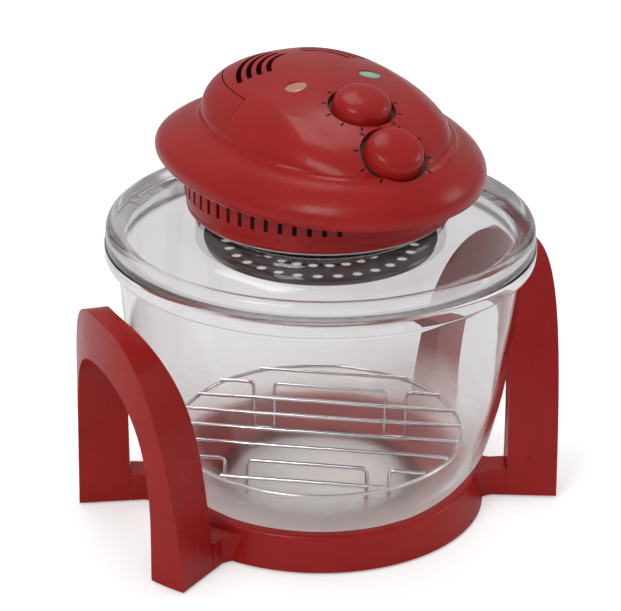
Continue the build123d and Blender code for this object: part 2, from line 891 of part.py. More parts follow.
# Screw posts as long as it takes to end inside the brim's wall
with BuildPart() as post_form:
    for x, y in screw_posts:
        with BuildSketch(Plane.XY.offset(skirt_top)):
            with Locations((x, y), (-x, y)):
                Circle(post_radius)
        extrude(amount=dome_height)
    add(brim_loft(shell / 2), mode=Mode.INTERSECT)
screw_post_set = post_form.part

with BuildPart() as top_housing:
    add(brim_loft(0.0))
    add(dome_skin)
    add(pocket, mode=Mode.SUBTRACT)
    add(brim_loft(shell), mode=Mode.SUBTRACT)
    add(inner_core, mode=Mode.SUBTRACT)
    # Wells that the control knobs sit in, with a hole for each control's bush
    for plane in (timer_plane, thermostat_plane):
        with BuildSketch(plane.offset(-well_depth - shell)):
            Circle(well_radius + shell)
        extrude(amount=well_depth)
    for plane in (timer_plane, thermostat_plane):
        with BuildSketch(plane.offset(-well_depth)):
            Circle(well_radius)
        extrude(amount=2 * knob_height, mode=Mode.SUBTRACT)
        with BuildSketch(plane.offset(-well_depth - 2 * shell)):
            Circle(bush_radius + fit)
        extrude(amount=4 * shell, mode=Mode.SUBTRACT)
    for plane in lens_planes:
        with BuildSketch(plane.offset(-2 * shell)):
            Circle(lens_radius + fit)
        extrude(amount=4 * shell, mode=Mode.SUBTRACT)
    # Screw posts that reach down to the skirt's flange
    add(screw_post_set)
    for x, y in screw_posts:
        with BuildSketch(Plane.XY.offset(skirt_top)):
            with Locations((x, y), (-x, y)):
                Circle(housing_screw_radius + fit)
        extrude(amount=housing_screw_length, mode=Mode.SUBTRACT)
    # Curved louvres in the rear cap
    for side in (-1, 1):
        with BuildSketch(Plane.XY.offset(hinge_z)):
            for radius in louvre_radii:
                start = louvre_start if side < 0 else 180 - louvre_start - louvre_sweep
                with BuildLine(mode=Mode.PRIVATE):
                    arc = CenterArc((0, louvre_centre_y), radius, start, louvre_sweep)
                SlotArc(arc=arc, height=louvre_width)
        extrude(amount=dome_height, mode=Mode.SUBTRACT)
    # Bosses and holes for the handle's pins, and the hole for the switch button
    for side in (-1, 1):
        with BuildSketch(Plane.YZ.offset(side * pin_inner)):
            with Locations((hinge_y, hinge_z)):
                Circle(pin_boss_radius)
        extrude(amount=side * (handle_inner[0] - handle_gap - shell / 2 - pin_inner))
        with BuildSketch(Plane.YZ.offset(side * pin_inner)):
            with Locations((hinge_y, hinge_z)):
                Circle(pin_radius + fit)
        extrude(amount=side * (pin_outer - pin_inner), mode=Mode.SUBTRACT)
    with BuildSketch(Plane.XY.offset(recess_bottom - 2 * shell)):
        with Locations((0, button_y)):
            Circle(button_radius + slack)
    extrude(amount=4 * shell, mode=Mode.SUBTRACT)

with BuildPart() as carry_handle:
    # A band of the dome behind the pivots, cut to the column it wraps, hollow from below at the back
    add(dome_skin)
    add(handle_block(handle_top, handle_bottom, heel_radius, hinge_y), mode=Mode.INTERSECT)
    with BuildSketch(Plane.XY.offset(handle_top)):
        Rectangle(4 * brim_width, 4 * brim_width)
    extrude(amount=heel_radius, mode=Mode.SUBTRACT)
    add(
        handle_column(0.0, recess_bottom - 2 * heel_radius, recess_top + 2 * heel_radius),
        mode=Mode.SUBTRACT,
    )
    hollow_form = handle_block(handle_top - shell, recess_bottom - slack, 0.1, handle_hollow_start)
    hollow = dome_loft(shell) & hollow_form
    hollow = hollow - handle_column(-shell, recess_bottom - 2 * heel_radius, recess_top + 2 * heel_radius)
    with BuildPart(mode=Mode.PRIVATE) as rib:
        with BuildSketch(Plane.XY.offset(handle_bottom)):
            with Locations((0, button_y)):
                Rectangle(3 * button_radius, brim_width)
        extrude(amount=dome_height)
    add(hollow - rib.part, mode=Mode.SUBTRACT)
    with BuildSketch(Plane.YZ.offset(-pin_outer - slack)):
        with Locations((hinge_y, hinge_z)):
            Circle(pin_radius + fit)
    extrude(amount=2 * (pin_outer + slack), mode=Mode.SUBTRACT)

with BuildPart() as handle_pins:
    for side in (-1, 1):
        with BuildSketch(Plane.YZ.offset(side * pin_inner)):
            with Locations((hinge_y, hinge_z)):
                Circle(pin_radius)
        extrude(amount=side * (pin_outer - pin_inner))

# ---------------------------------------------------------------- skirt
with BuildPart() as skirt_housing:
    skirt_profile = [
        (lid_hole_radius + 2, flange_bottom),
        (skirt_radius - skirt_corner, flange_bottom),
        (skirt_radius - 2, flange_bottom + skirt_corner),
        (skirt_radius, slot_low),
        (skirt_radius, skirt_top),
        (skirt_radius - skirt_wall, skirt_top),
        (skirt_radius - skirt_wall, slot_low),
        (skirt_radius - 2 - skirt_wall, flange_bottom + skirt_corner),
        (flange_radius, chassis_bottom),
        (lid_hole_radius + 2, chassis_bottom),
    ]
    with BuildSketch(Plane.XZ):
        with BuildLine():
            Line(skirt_profile[0], skirt_profile[1])
            TangentArc(skirt_profile[1], skirt_profile[2], tangent=(1, 0))
            Polyline(*skirt_profile[2:], skirt_profile[0])
        make_face()
    revolve(axis=Axis.Z)
    # Flange that closes the underside of the brim
    lip_width, lip_length, lip_centre = brim_section(brim_rows[0][0])
    flange_outline = (lip_width - shell - slack, lip_length - shell - slack, lip_centre)
    extrude(
        egg_face(skirt_top - skirt_wall, *flange_outline),
        amount=skirt_wall,
    )
    with BuildSketch(Plane.XY.offset(skirt_top - skirt_wall)):
        Circle(skirt_radius - skirt_wall)
    extrude(amount=skirt_wall, mode=Mode.SUBTRACT)
    # Cooling slots all round, except at the front and behind the cord gland
    steps = int(180 / slot_pitch)
    for step in range(-steps, steps):
        turn = slot_pitch * (step + 0.5)
        if slot_free_rear < abs(turn) < 180 - slot_free_front:
            slot_plane = radial_plane(90 + turn, slot_low)
            with BuildSketch(slot_plane):
                with Locations((skirt_radius, 0)):
                    Rectangle(4 * skirt_wall, slot_width)
            extrude(amount=slot_high - slot_low, mode=Mode.SUBTRACT)
    for x, y in screw_posts:
        with BuildSketch(Plane.XY.offset(skirt_top - skirt_wall)):
            with Locations((x, y), (-x, y)):
                Circle(housing_screw_radius + fit)
        extrude(amount=skirt_wall, mode=Mode.SUBTRACT)
    with BuildSketch(Plane.XZ.offset(-skirt_radius - 2 * skirt_wall)):
        with Locations((0, gland_height)):
            Circle(gland_radius + fit)
    extrude(amount=4 * skirt_wall, mode=Mode.SUBTRACT)
    with BuildSketch(Plane.XY.offset(flange_bottom)):
        with PolarLocations(flange_radius - 4 * gasket, 3, start_angle=30):
            Circle(housing_screw_radius + fit)
    extrude(amount=skirt_wall, mode=Mode.SUBTRACT)

with BuildPart() as housing_screws:
    for x, y in screw_posts:
        with BuildSketch(Plane.XY.offset(skirt_top - skirt_wall - screw_head_height)):
            with Locations((x, y), (-x, y)):
                Circle(screw_head_radius)
        extrude(amount=screw_head_height)
        with BuildSketch(Plane.XY.offset(skirt_top - skirt_wall)):
            with Locations((x, y), (-x, y)):
                Circle(housing_screw_radius)
        extrude(amount=skirt_wall + housing_screw_length - slack)

with BuildPart() as cord_gland:
    # Bush through the rear of the skirt, a flange outside and a nut inside
    for start, length, radius in (
        (skirt_radius + fit, 3.0, gland_radius + 3.0),
        (skirt_radius - 4 * skirt_wall, 4 * skirt_wall + fit, gland_radius),
        (skirt_radius - 4 * skirt_wall, 2 * skirt_wall, gland_radius + 2.5),
    ):
        with BuildSketch(Plane.XZ.offset(-start)):
            with Locations((0, gland_height)):
                Circle(radius)
        extrude(amount=-length)
    with BuildSketch(Plane.XZ.offset(-skirt_radius + 8 * skirt_wall)):
        with Locations((0, gland_height)):
            Circle(gland_bore)
    extrude(amount=-16 * skirt_wall, mode=Mode.SUBTRACT)

# ---------------------------------------------------------------- controls
bush_foot = -well_depth - shell
hub_radius = control_shaft_radius + knob_wall


def control_knob(plane):
    """A domed knob: hollow underneath, with a hub for the shaft."""
    skirt_low = dial_thickness + slack + 0.2 - well_depth
    with BuildPart() as knob:
        with BuildSketch(Plane.XZ):
            with BuildLine():
                Line((0, skirt_low), (knob_radius, skirt_low))
                Line((knob_radius, skirt_low), (knob_radius - 0.6, knob_height * 0.35))
                Spline(
                    (knob_radius - 0.6, knob_height * 0.35),
                    (knob_radius * 0.62, knob_height * 0.88),
                    (0, knob_height),
                    tangents=((-0.12, 1), (-1, 0)),
                )
                Line((0, knob_height), (0, skirt_low))
            make_face()
        revolve(axis=Axis.Z)
        with BuildSketch(Plane.XZ):
            with BuildLine():
                Line((hub_radius, skirt_low), (knob_radius - knob_wall, skirt_low))
                Line((knob_radius - knob_wall, skirt_low), (knob_radius - knob_wall - 0.6, knob_height * 0.3))
                Spline(
                    (knob_radius - knob_wall - 0.6, knob_height * 0.3),
                    (knob_radius * 0.55, knob_height * 0.88 - knob_wall),
                    (hub_radius, knob_height - knob_wall - 0.4),
                    tangents=((-0.12, 1), (-1, 0.05)),
                )
                Line((hub_radius, knob_height - knob_wall - 0.4), (hub_radius, skirt_low))
            make_face()
        revolve(axis=Axis.Z, mode=Mode.SUBTRACT)
        with BuildSketch(Plane.XY.offset(skirt_low)):
            Circle(hub_radius + fit)
        extrude(amount=-skirt_low + slack, mode=Mode.SUBTRACT)
        with BuildSketch(Plane.XY):
            Circle(control_shaft_radius + fit)
        extrude(amount=knob_height - 2 * knob_wall, mode=Mode.SUBTRACT)
    return plane.location * knob.part


def disc(plane, low, high, radius, bore=0.0):
    """A disc or a ring square to a tilted plane, between two heights along its normal."""
    with BuildPart() as piece:
        with BuildSketch(plane.offset(low)):
            Circle(radius)
            if bore:
                Circle(bore, mode=Mode.SUBTRACT)
        extrude(amount=high - low)
    return piece.part


with BuildPart() as timer_knob:
    add(control_knob(timer_plane))

with BuildPart() as thermostat_knob:
    add(control_knob(thermostat_plane))

with BuildPart() as timer_dial:
    add(disc(timer_plane, -well_depth, dial_thickness - well_depth, well_radius - fit, bush_radius + fit))

with BuildPart() as thermostat_dial:
    dial_top = dial_thickness - well_depth
    add(disc(thermostat_plane, -well_depth, dial_top, well_radius - fit, bush_radius + fit))

with BuildPart() as control_nuts:
    for plane in (timer_plane, thermostat_plane):
        with BuildSketch(plane.offset(dial_thickness - well_depth)):
            RegularPolygon(bush_radius + 3.0, 6)
            Circle(bush_radius + fit, mode=Mode.SUBTRACT)
        extrude(amount=bush_top + well_depth - dial_thickness)

shaft_reach = knob_height - 2 * knob_wall - slack
with BuildPart() as timer_shaft:
    add(disc(timer_plane, bush_foot - timer_depth / 2, shaft_reach, control_shaft_radius))

with BuildPart() as thermostat_shaft:
    add(disc(thermostat_plane, bush_foot - thermostat_depth / 2, shaft_reach, control_shaft_radius))

with BuildPart() as timer_case:
    with BuildSketch(timer_plane.offset(bush_foot - timer_depth)):
        RectangleRounded(timer_size, timer_size, 3)
    extrude(amount=timer_depth)
    add(disc(timer_plane, bush_foot, bush_top, bush_radius))
    with BuildSketch(timer_plane.offset(bush_foot - timer_depth / 2 - slack)):
        Circle(control_shaft_radius + fit)
    extrude(amount=timer_depth, mode=Mode.SUBTRACT)

with BuildPart() as thermostat_case:
    add(disc(thermostat_plane, bush_foot - thermostat_depth, bush_foot, thermostat_radius))
    add(disc(thermostat_plane, bush_foot, bush_top, bush_radius))
    with BuildSketch(thermostat_plane.offset(bush_foot - thermostat_depth / 2 - slack)):
        Circle(control_shaft_radius + fit)
    extrude(amount=timer_depth, mode=Mode.SUBTRACT)


def lens(plane):
    """A shallow domed lens with a flange inside the shell."""
    flange_low = -shell - 2.4
    with BuildPart() as piece:
        with BuildSketch(Plane.XZ):
            with BuildLine():
                Polyline(
                    (0, lens_bulge),
                    (0, flange_low),
                    (lens_radius + 1.2, flange_low),
                    (lens_radius + 1.2, flange_low + 1.2),
                    (lens_radius, flange_low + 1.2),
                    (lens_radius, 0),
                )
                TangentArc((0, lens_bulge), (lens_radius, 0), tangent=(1, 0))
            make_face()
        revolve(axis=Axis.Z)
    return plane.location * piece.part


with BuildPart() as lens_power:
    add(lens(lens_planes[1]))

with BuildPart() as lens_heat:
    add(lens(lens_planes[0]))

with BuildPart() as indicator_lamps:
    for plane in lens_planes:
        add(disc(plane, -shell - 14.5, -shell - 2.4, control_shaft_radius))

# ---------------------------------------------------------------- motor, fans and switch
with BuildPart() as motor_shaft:
    add(disc(Plane.XY, shaft_bottom, shaft_top, shaft_radius))

with BuildPart() as motor_rotor:
    add(disc(Plane.XY, core_low, core_high, rotor_radius, shaft_radius + fit))

window_low = rotor_radius + rotor_gap + 3.5
window_high = core_rear - core_leg
with BuildPart() as motor_core:
    # Laminated C-shaped core: rotor bore in front, a window and a leg for the coil behind
    with BuildSketch(Plane.XY.offset(core_low)):
        with Locations((0, (core_front + core_rear) / 2)):
            RectangleRounded(2 * core_half_width, core_rear - core_front, 2)
        Circle(rotor_radius + rotor_gap, mode=Mode.SUBTRACT)
        with Locations((0, (window_low + window_high) / 2)):
            Rectangle(core_half_width, window_high - window_low, mode=Mode.SUBTRACT)
        with Locations((post_spot, 0), (-post_spot, 0)):
            Circle(clamp_screw_radius + fit, mode=Mode.SUBTRACT)
    extrude(amount=core_high - core_low)

coil_wall = (window_high - window_low) - 2 * slack
with BuildPart() as motor_coil:
    with BuildSketch(Plane.YZ.offset(-core_half_width / 2 + slack)):
        with Locations((core_rear - core_leg / 2, (core_low + core_high) / 2)):
            RectangleRounded(core_leg + 2 * coil_wall, core_high - core_low + coil_wall, 2)
            Rectangle(core_leg + 2 * slack, core_high - core_low + 2 * slack, mode=Mode.SUBTRACT)
    extrude(amount=core_half_width - 2 * slack)

with BuildPart() as motor_brackets:
    for low, side in ((core_low - bracket_thickness, -1), (core_high, 1)):
        cup_low = low if side > 0 else low - bearing_length
        with BuildSketch(Plane.XY.offset(low)):
            RectangleRounded(2 * core_half_width, 2 * bearing_radius + 2 * bracket_thickness, 2)
        extrude(amount=bracket_thickness)
        with BuildSketch(Plane.XY.offset(cup_low)):
            Circle(bearing_radius + bracket_thickness)
        extrude(amount=bearing_length + bracket_thickness)
        with BuildSketch(Plane.XY.offset(cup_low)):
            Circle(bearing_radius + fit)
        extrude(amount=bearing_length + bracket_thickness, mode=Mode.SUBTRACT)
        with BuildSketch(Plane.XY.offset(low)):
            with Locations((post_spot, 0), (-post_spot, 0)):
                Circle(clamp_screw_radius + fit)
        extrude(amount=bracket_thickness, mode=Mode.SUBTRACT)

with BuildPart() as motor_bearings:
    bearing_reach = bracket_thickness + bearing_length
    bore_radius = shaft_radius + fit
    add(disc(Plane.XY, core_low - bearing_reach, core_low - slack, bearing_radius, bore_radius))
    add(disc(Plane.XY, core_high + slack, core_high + bearing_reach, bearing_radius, bore_radius))

with BuildPart() as motor_posts:
    with BuildSketch(Plane.XY.offset(chassis_top)):
        with Locations((post_spot, 0), (-post_spot, 0)):
            Circle(post_radius)
    extrude(amount=core_low - bracket_thickness - chassis_top)
    with BuildSketch(Plane.XY.offset(core_low - bracket_thickness)):
        with Locations((post_spot, 0), (-post_spot, 0)):
            Circle(clamp_screw_radius)
    extrude(amount=core_high - core_low + 2 * bracket_thickness)
    with BuildSketch(Plane.XY.offset(core_high + bracket_thickness)):
        with Locations((post_spot, 0), (-post_spot, 0)):
            Circle(post_radius)
    extrude(amount=screw_head_height)


def fan(low, high, radius, blades, twist):
    """A pressed fan: a hub, and flat blades turned by twist degrees from edge-on."""
    with BuildPart() as wheel:
        with BuildSketch(Plane.XY.offset(low)):
            Circle(2 * shaft_radius + 1)
        extrude(amount=high - low)
        middle = (low + high) / 2
        for count in range(blades):
            spin = 2 * math.pi * count / blades
            outwards = Vector(math.cos(spin), math.sin(spin), 0)
            sideways = Vector(-math.sin(spin), math.cos(spin), 0)
            tilt = math.radians(twist)
            chord = sideways * math.cos(tilt) + Vector(0, 0, math.sin(tilt))
            blade_root = Vector(0, 0, middle) + outwards * shaft_radius * 1.5
            with BuildSketch(Plane(blade_root, x_dir=chord, z_dir=outwards)):
                chord_length = (high - low - blade_thickness) / math.sin(tilt)
                Rectangle(chord_length, blade_thickness)
            extrude(amount=radius - shaft_radius * 1.5)
        with BuildSketch(Plane.XY.offset(low)):
            Circle(shaft_radius + fit)
        extrude(amount=high - low, mode=Mode.SUBTRACT)
    return wheel.part


with BuildPart() as convection_fan:
    add(fan(convection_fan_low, convection_fan_high, convection_fan_radius, 8, 60))

with BuildPart() as cooling_fan:
    add(fan(cooling_fan_low, cooling_fan_high, cooling_fan_radius, 6, 35))

with BuildPart() as fan_nuts:
    for low, high in (
        (shaft_bottom + sheet, convection_fan_low),
        (cooling_fan_high, shaft_top - sheet / 2),
    ):
        with BuildSketch(Plane.XY.offset(low)):
            RegularPolygon(2 * shaft_radius, 6)
            Circle(shaft_radius + fit, mode=Mode.SUBTRACT)
        extrude(amount=high - low)

switch_top = recess_bottom - shell
button_top = handle_bottom - slack
with BuildPart() as switch_button:
    button_plane = Plane((0, button_y, 0))
    with BuildSketch(button_plane.offset(switch_top - switch_size[2] + 3.0)):
        Circle(button_flange)
    extrude(amount=2.0)
    with BuildSketch(button_plane.offset(switch_top - switch_size[2] + 3.0)):
        Circle(button_radius)
    extrude(amount=button_top - switch_top + switch_size[2] - 3.0)

with BuildPart() as microswitch:
    with BuildSketch(Plane((0, button_y, switch_top - switch_size[2]))):
        RectangleRounded(switch_size[0], switch_size[1], 1)
    extrude(amount=switch_size[2])
    with BuildSketch(Plane((0, button_y, switch_top - switch_size[2] + 3.0 - slack))):
        Circle(button_flange + slack)
    extrude(amount=switch_size[2], mode=Mode.SUBTRACT)

with BuildPart() as terminal_block:
    with BuildSketch(Plane.XY.offset(chassis_top)):
        with Locations((-58, 0)):
            RectangleRounded(12, 32, 1)
    extrude(amount=11)

with BuildPart() as thermal_cutout:
    with BuildSketch(Plane.XY.offset(chassis_top)):
        with Locations((62, -20)):
            Circle(8)
    extrude(amount=9)

# ---------------------------------------------------------------- names and files
helper_forms = ("post_form", "rib")
pieces = {
    name: piece
    for name, piece in list(globals().items())
    if isinstance(piece, BuildPart) and name not in helper_forms
}
for name, piece in pieces.items():
    piece.part.label = name
    export_step(piece.part, f"parts/{name}.step")
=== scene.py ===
import json
import math

import bmesh
import bpy
from mathutils import Matrix, Vector


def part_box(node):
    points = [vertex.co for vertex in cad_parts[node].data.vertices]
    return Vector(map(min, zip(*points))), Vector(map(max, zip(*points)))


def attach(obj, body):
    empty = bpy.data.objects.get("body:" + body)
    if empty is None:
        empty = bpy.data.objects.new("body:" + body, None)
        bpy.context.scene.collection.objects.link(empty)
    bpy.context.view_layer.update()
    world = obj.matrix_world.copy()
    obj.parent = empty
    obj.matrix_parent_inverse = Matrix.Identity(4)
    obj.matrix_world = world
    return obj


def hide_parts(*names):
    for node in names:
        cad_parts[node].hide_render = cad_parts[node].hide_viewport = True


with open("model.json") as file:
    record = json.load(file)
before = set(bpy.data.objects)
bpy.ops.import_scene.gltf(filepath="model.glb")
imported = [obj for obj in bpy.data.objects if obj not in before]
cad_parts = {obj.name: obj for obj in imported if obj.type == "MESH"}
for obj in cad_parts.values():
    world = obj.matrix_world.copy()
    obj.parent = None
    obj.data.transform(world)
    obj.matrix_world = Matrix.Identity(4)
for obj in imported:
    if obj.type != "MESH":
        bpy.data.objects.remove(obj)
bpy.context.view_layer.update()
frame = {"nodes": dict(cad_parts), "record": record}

# Halogen oven: looks for the stand, the glass bowl and lid, the rack and the control head.
# Metres, +Z up, the origin on the bowl's axis at the surface the oven stands on, controls face -Y.

nodes = frame["nodes"]
scene = bpy.context.scene


def add_node(tree, kind, **values):
    """A new node of a tree, with the given settings."""
    node = tree.nodes.new(kind)
    for key, value in values.items():
        setattr(node, key, value)
    return node


def mixed_shaders(tree, share, first, second):
    """The first shader, with a share of the second in its place."""
    mix = add_node(tree, "ShaderNodeMixShader")
    tree.links.new(share, mix.inputs["Fac"])
    tree.links.new(first, mix.inputs[1])
    tree.links.new(second, mix.inputs[2])
    return mix.outputs[0]


# ---------------------------------------------------------------- finishes
BEVEL_SAMPLES = 4
GLOSS_SCALE = 3.1
SMEAR_SCALE = 2.3
SHEET_SMEARS = 9.0
SHEET_ROUGHNESS = 0.06


class Finish:
    """A node material whose patterns are laid out in the object's own coordinates."""

    def __init__(self, name):
        self.material = bpy.data.materials.new(name)
        self.material.use_nodes = True
        self.tree = self.material.node_tree
        self.tree.nodes.clear()
        self.output = self.add("ShaderNodeOutputMaterial")
        self.shader = self.add("ShaderNodeBsdfPrincipled")
        self.join(self.shader.outputs[0], self.output.inputs["Surface"])
        self.place = self.add("ShaderNodeTexCoord").outputs["Object"]

    def add(self, kind, **values):
        return add_node(self.tree, kind, **values)

    def join(self, source, target):
        self.tree.links.new(source, target)

    def set(self, **values):
        """Values of the principled shader, by its inputs' names."""
        for name, value in values.items():
            self.shader.inputs[name.replace("_", " ")].default_value = value

    def stretched(self, scale):
        """Object coordinates scaled along each axis."""
        mapping = self.add("ShaderNodeMapping")
        mapping.inputs["Scale"].default_value = scale
        self.join(self.place, mapping.inputs["Vector"])
        return mapping.outputs["Vector"]

    def noise(self, scale, detail, place=None):
        """A cloudy factor, with scale in patches a metre."""
        texture = self.add("ShaderNodeTexNoise")
        texture.inputs["Scale"].default_value = scale
        texture.inputs["Detail"].default_value = detail
        self.join(place or self.place, texture.inputs["Vector"])
        return texture.outputs["Fac"]

    def band(self, factor, low, high, start=0.3, end=0.7):
        """A factor spread between two values."""
        spread = self.add("ShaderNodeMapRange")
        for name, value in (("From Min", start), ("From Max", end), ("To Min", low), ("To Max", high)):
            spread.inputs[name].default_value = value
        self.join(factor, spread.inputs["Value"])
        return spread.outputs["Result"]

    def tint(self, factor, first, second):
        """A colour that runs from the first to the second with the factor."""
        ramp = self.add("ShaderNodeValToRGB")
        ramp.color_ramp.elements[0].position = 0.3
        ramp.color_ramp.elements[1].position = 0.7
        ramp.color_ramp.elements[0].color = (*first, 1)
        ramp.color_ramp.elements[1].color = (*second, 1)
        self.join(factor, ramp.inputs["Fac"])
        self.join(ramp.outputs["Color"], self.shader.inputs["Base Color"])

    def mixed(self, share, first, second):
        return mixed_shaders(self.tree, share, first, second)

    def coloured(self, kind, colour):
        """A plain shader of a kind in one colour."""
        shader = self.add(kind)
        shader.inputs["Color"].default_value = (*colour, 1)
        return shader.outputs[0]

    def relief(self, height, depth, edge=0.0):
        """Bumps depth metres high, on edges that look rounded to the edge radius."""
        bump = self.add("ShaderNodeBump")
        bump.inputs["Distance"].default_value = depth
        self.join(height, bump.inputs["Height"])
        if edge:
            rounding = self.add("ShaderNodeBevel", samples=BEVEL_SAMPLES)
            rounding.inputs["Radius"].default_value = edge
            self.join(rounding.outputs["Normal"], bump.inputs["Normal"])
        self.join(bump.outputs["Normal"], self.shader.inputs["Normal"])

    def milky(self, low, high, share, colour):
        """Thick moulded glass that scatters light: by share below low, and not at all above high."""
        level = self.add("ShaderNodeSeparateXYZ")
        self.join(self.place, level.inputs[0])
        fade = self.band(level.outputs["Z"], share, 0.0, low, high)
        haze = self.coloured("ShaderNodeBsdfTranslucent", colour)
        return self.mixed(fade, self.shader.outputs[0], haze)

    def thin_inside(self, glass, start, end, clear, shine, thick=1.0):
        """Glass that bends no light inside a radius and bends a thick share of it outside."""
        level = self.add("ShaderNodeSeparateXYZ")
        self.join(self.place, level.inputs[0])
        flat = self.add("ShaderNodeCombineXYZ")
        self.join(level.outputs["X"], flat.inputs["X"])
        self.join(level.outputs["Y"], flat.inputs["Y"])
        reach = self.add("ShaderNodeVectorMath", operation="LENGTH")
        self.join(flat.outputs[0], reach.inputs[0])
        through = self.coloured("ShaderNodeBsdfTransparent", clear)
        gleam = self.add("ShaderNodeBsdfGlossy")
        gleam.inputs["Roughness"].default_value = SHEET_ROUGHNESS
        smears = self.band(self.noise(SHEET_SMEARS, 3), *shine)
        sheet = self.mixed(smears, through, gleam.outputs[0])
        return self.mixed(self.band(reach.outputs["Value"], 0.0, thick, start, end), sheet, glass)

    def let_lamps_through(self, share, glass):
        """Glass that lets the lamps' light straight through, by a share of each colour."""
        clear = self.coloured("ShaderNodeBsdfTransparent", share)
        shadow = self.add("ShaderNodeLightPath").outputs["Is Shadow Ray"]
        self.join(self.mixed(shadow, glass, clear), self.output.inputs["Surface"])


def surface(name, first, second, rough, patch, grain, depth, edge=0.0, stretch=None, **values):
    """An opaque finish: mottled colour, uneven gloss and a fine grain.

    patch and grain are the noise scales of the colour and of the grain, and depth is the grain's height.
    """
    finish = Finish(name)
    place = finish.stretched(stretch) if stretch else None
    finish.tint(finish.noise(patch, 4, place), first, second)
    gloss = finish.band(finish.noise(patch * GLOSS_SCALE, 5, place), *rough)
    finish.join(gloss, finish.shader.inputs["Roughness"])
    finish.relief(finish.noise(grain, 2, place), depth, edge)
    finish.set(**values)
    return finish.material


def glass(name, tint, rough, waves, wave_depth, clear, foot=None, pane=None, **values):
    """Clear or tinted glass with a soft waviness and faint smears.

    A foot (low, high, share, colour) is milky at its base. A pane (start, end, clear, shine, thick) bends
    no light inside its radius. clear is what passes of the lamps' light.
    """
    finish = Finish(name)
    finish.set(Base_Color=(*tint, 1), Transmission_Weight=1.0, **values)
    smears = finish.band(finish.noise(waves * SMEAR_SCALE, 5), *rough)
    finish.join(smears, finish.shader.inputs["Roughness"])
    finish.relief(finish.noise(waves, 2), wave_depth)
    shown = finish.shader.outputs[0]
    if foot:
        shown = finish.milky(*foot)
    if pane:
        shown = finish.thin_inside(shown, *pane)
    finish.let_lamps_through(clear, shown)
    return finish.material


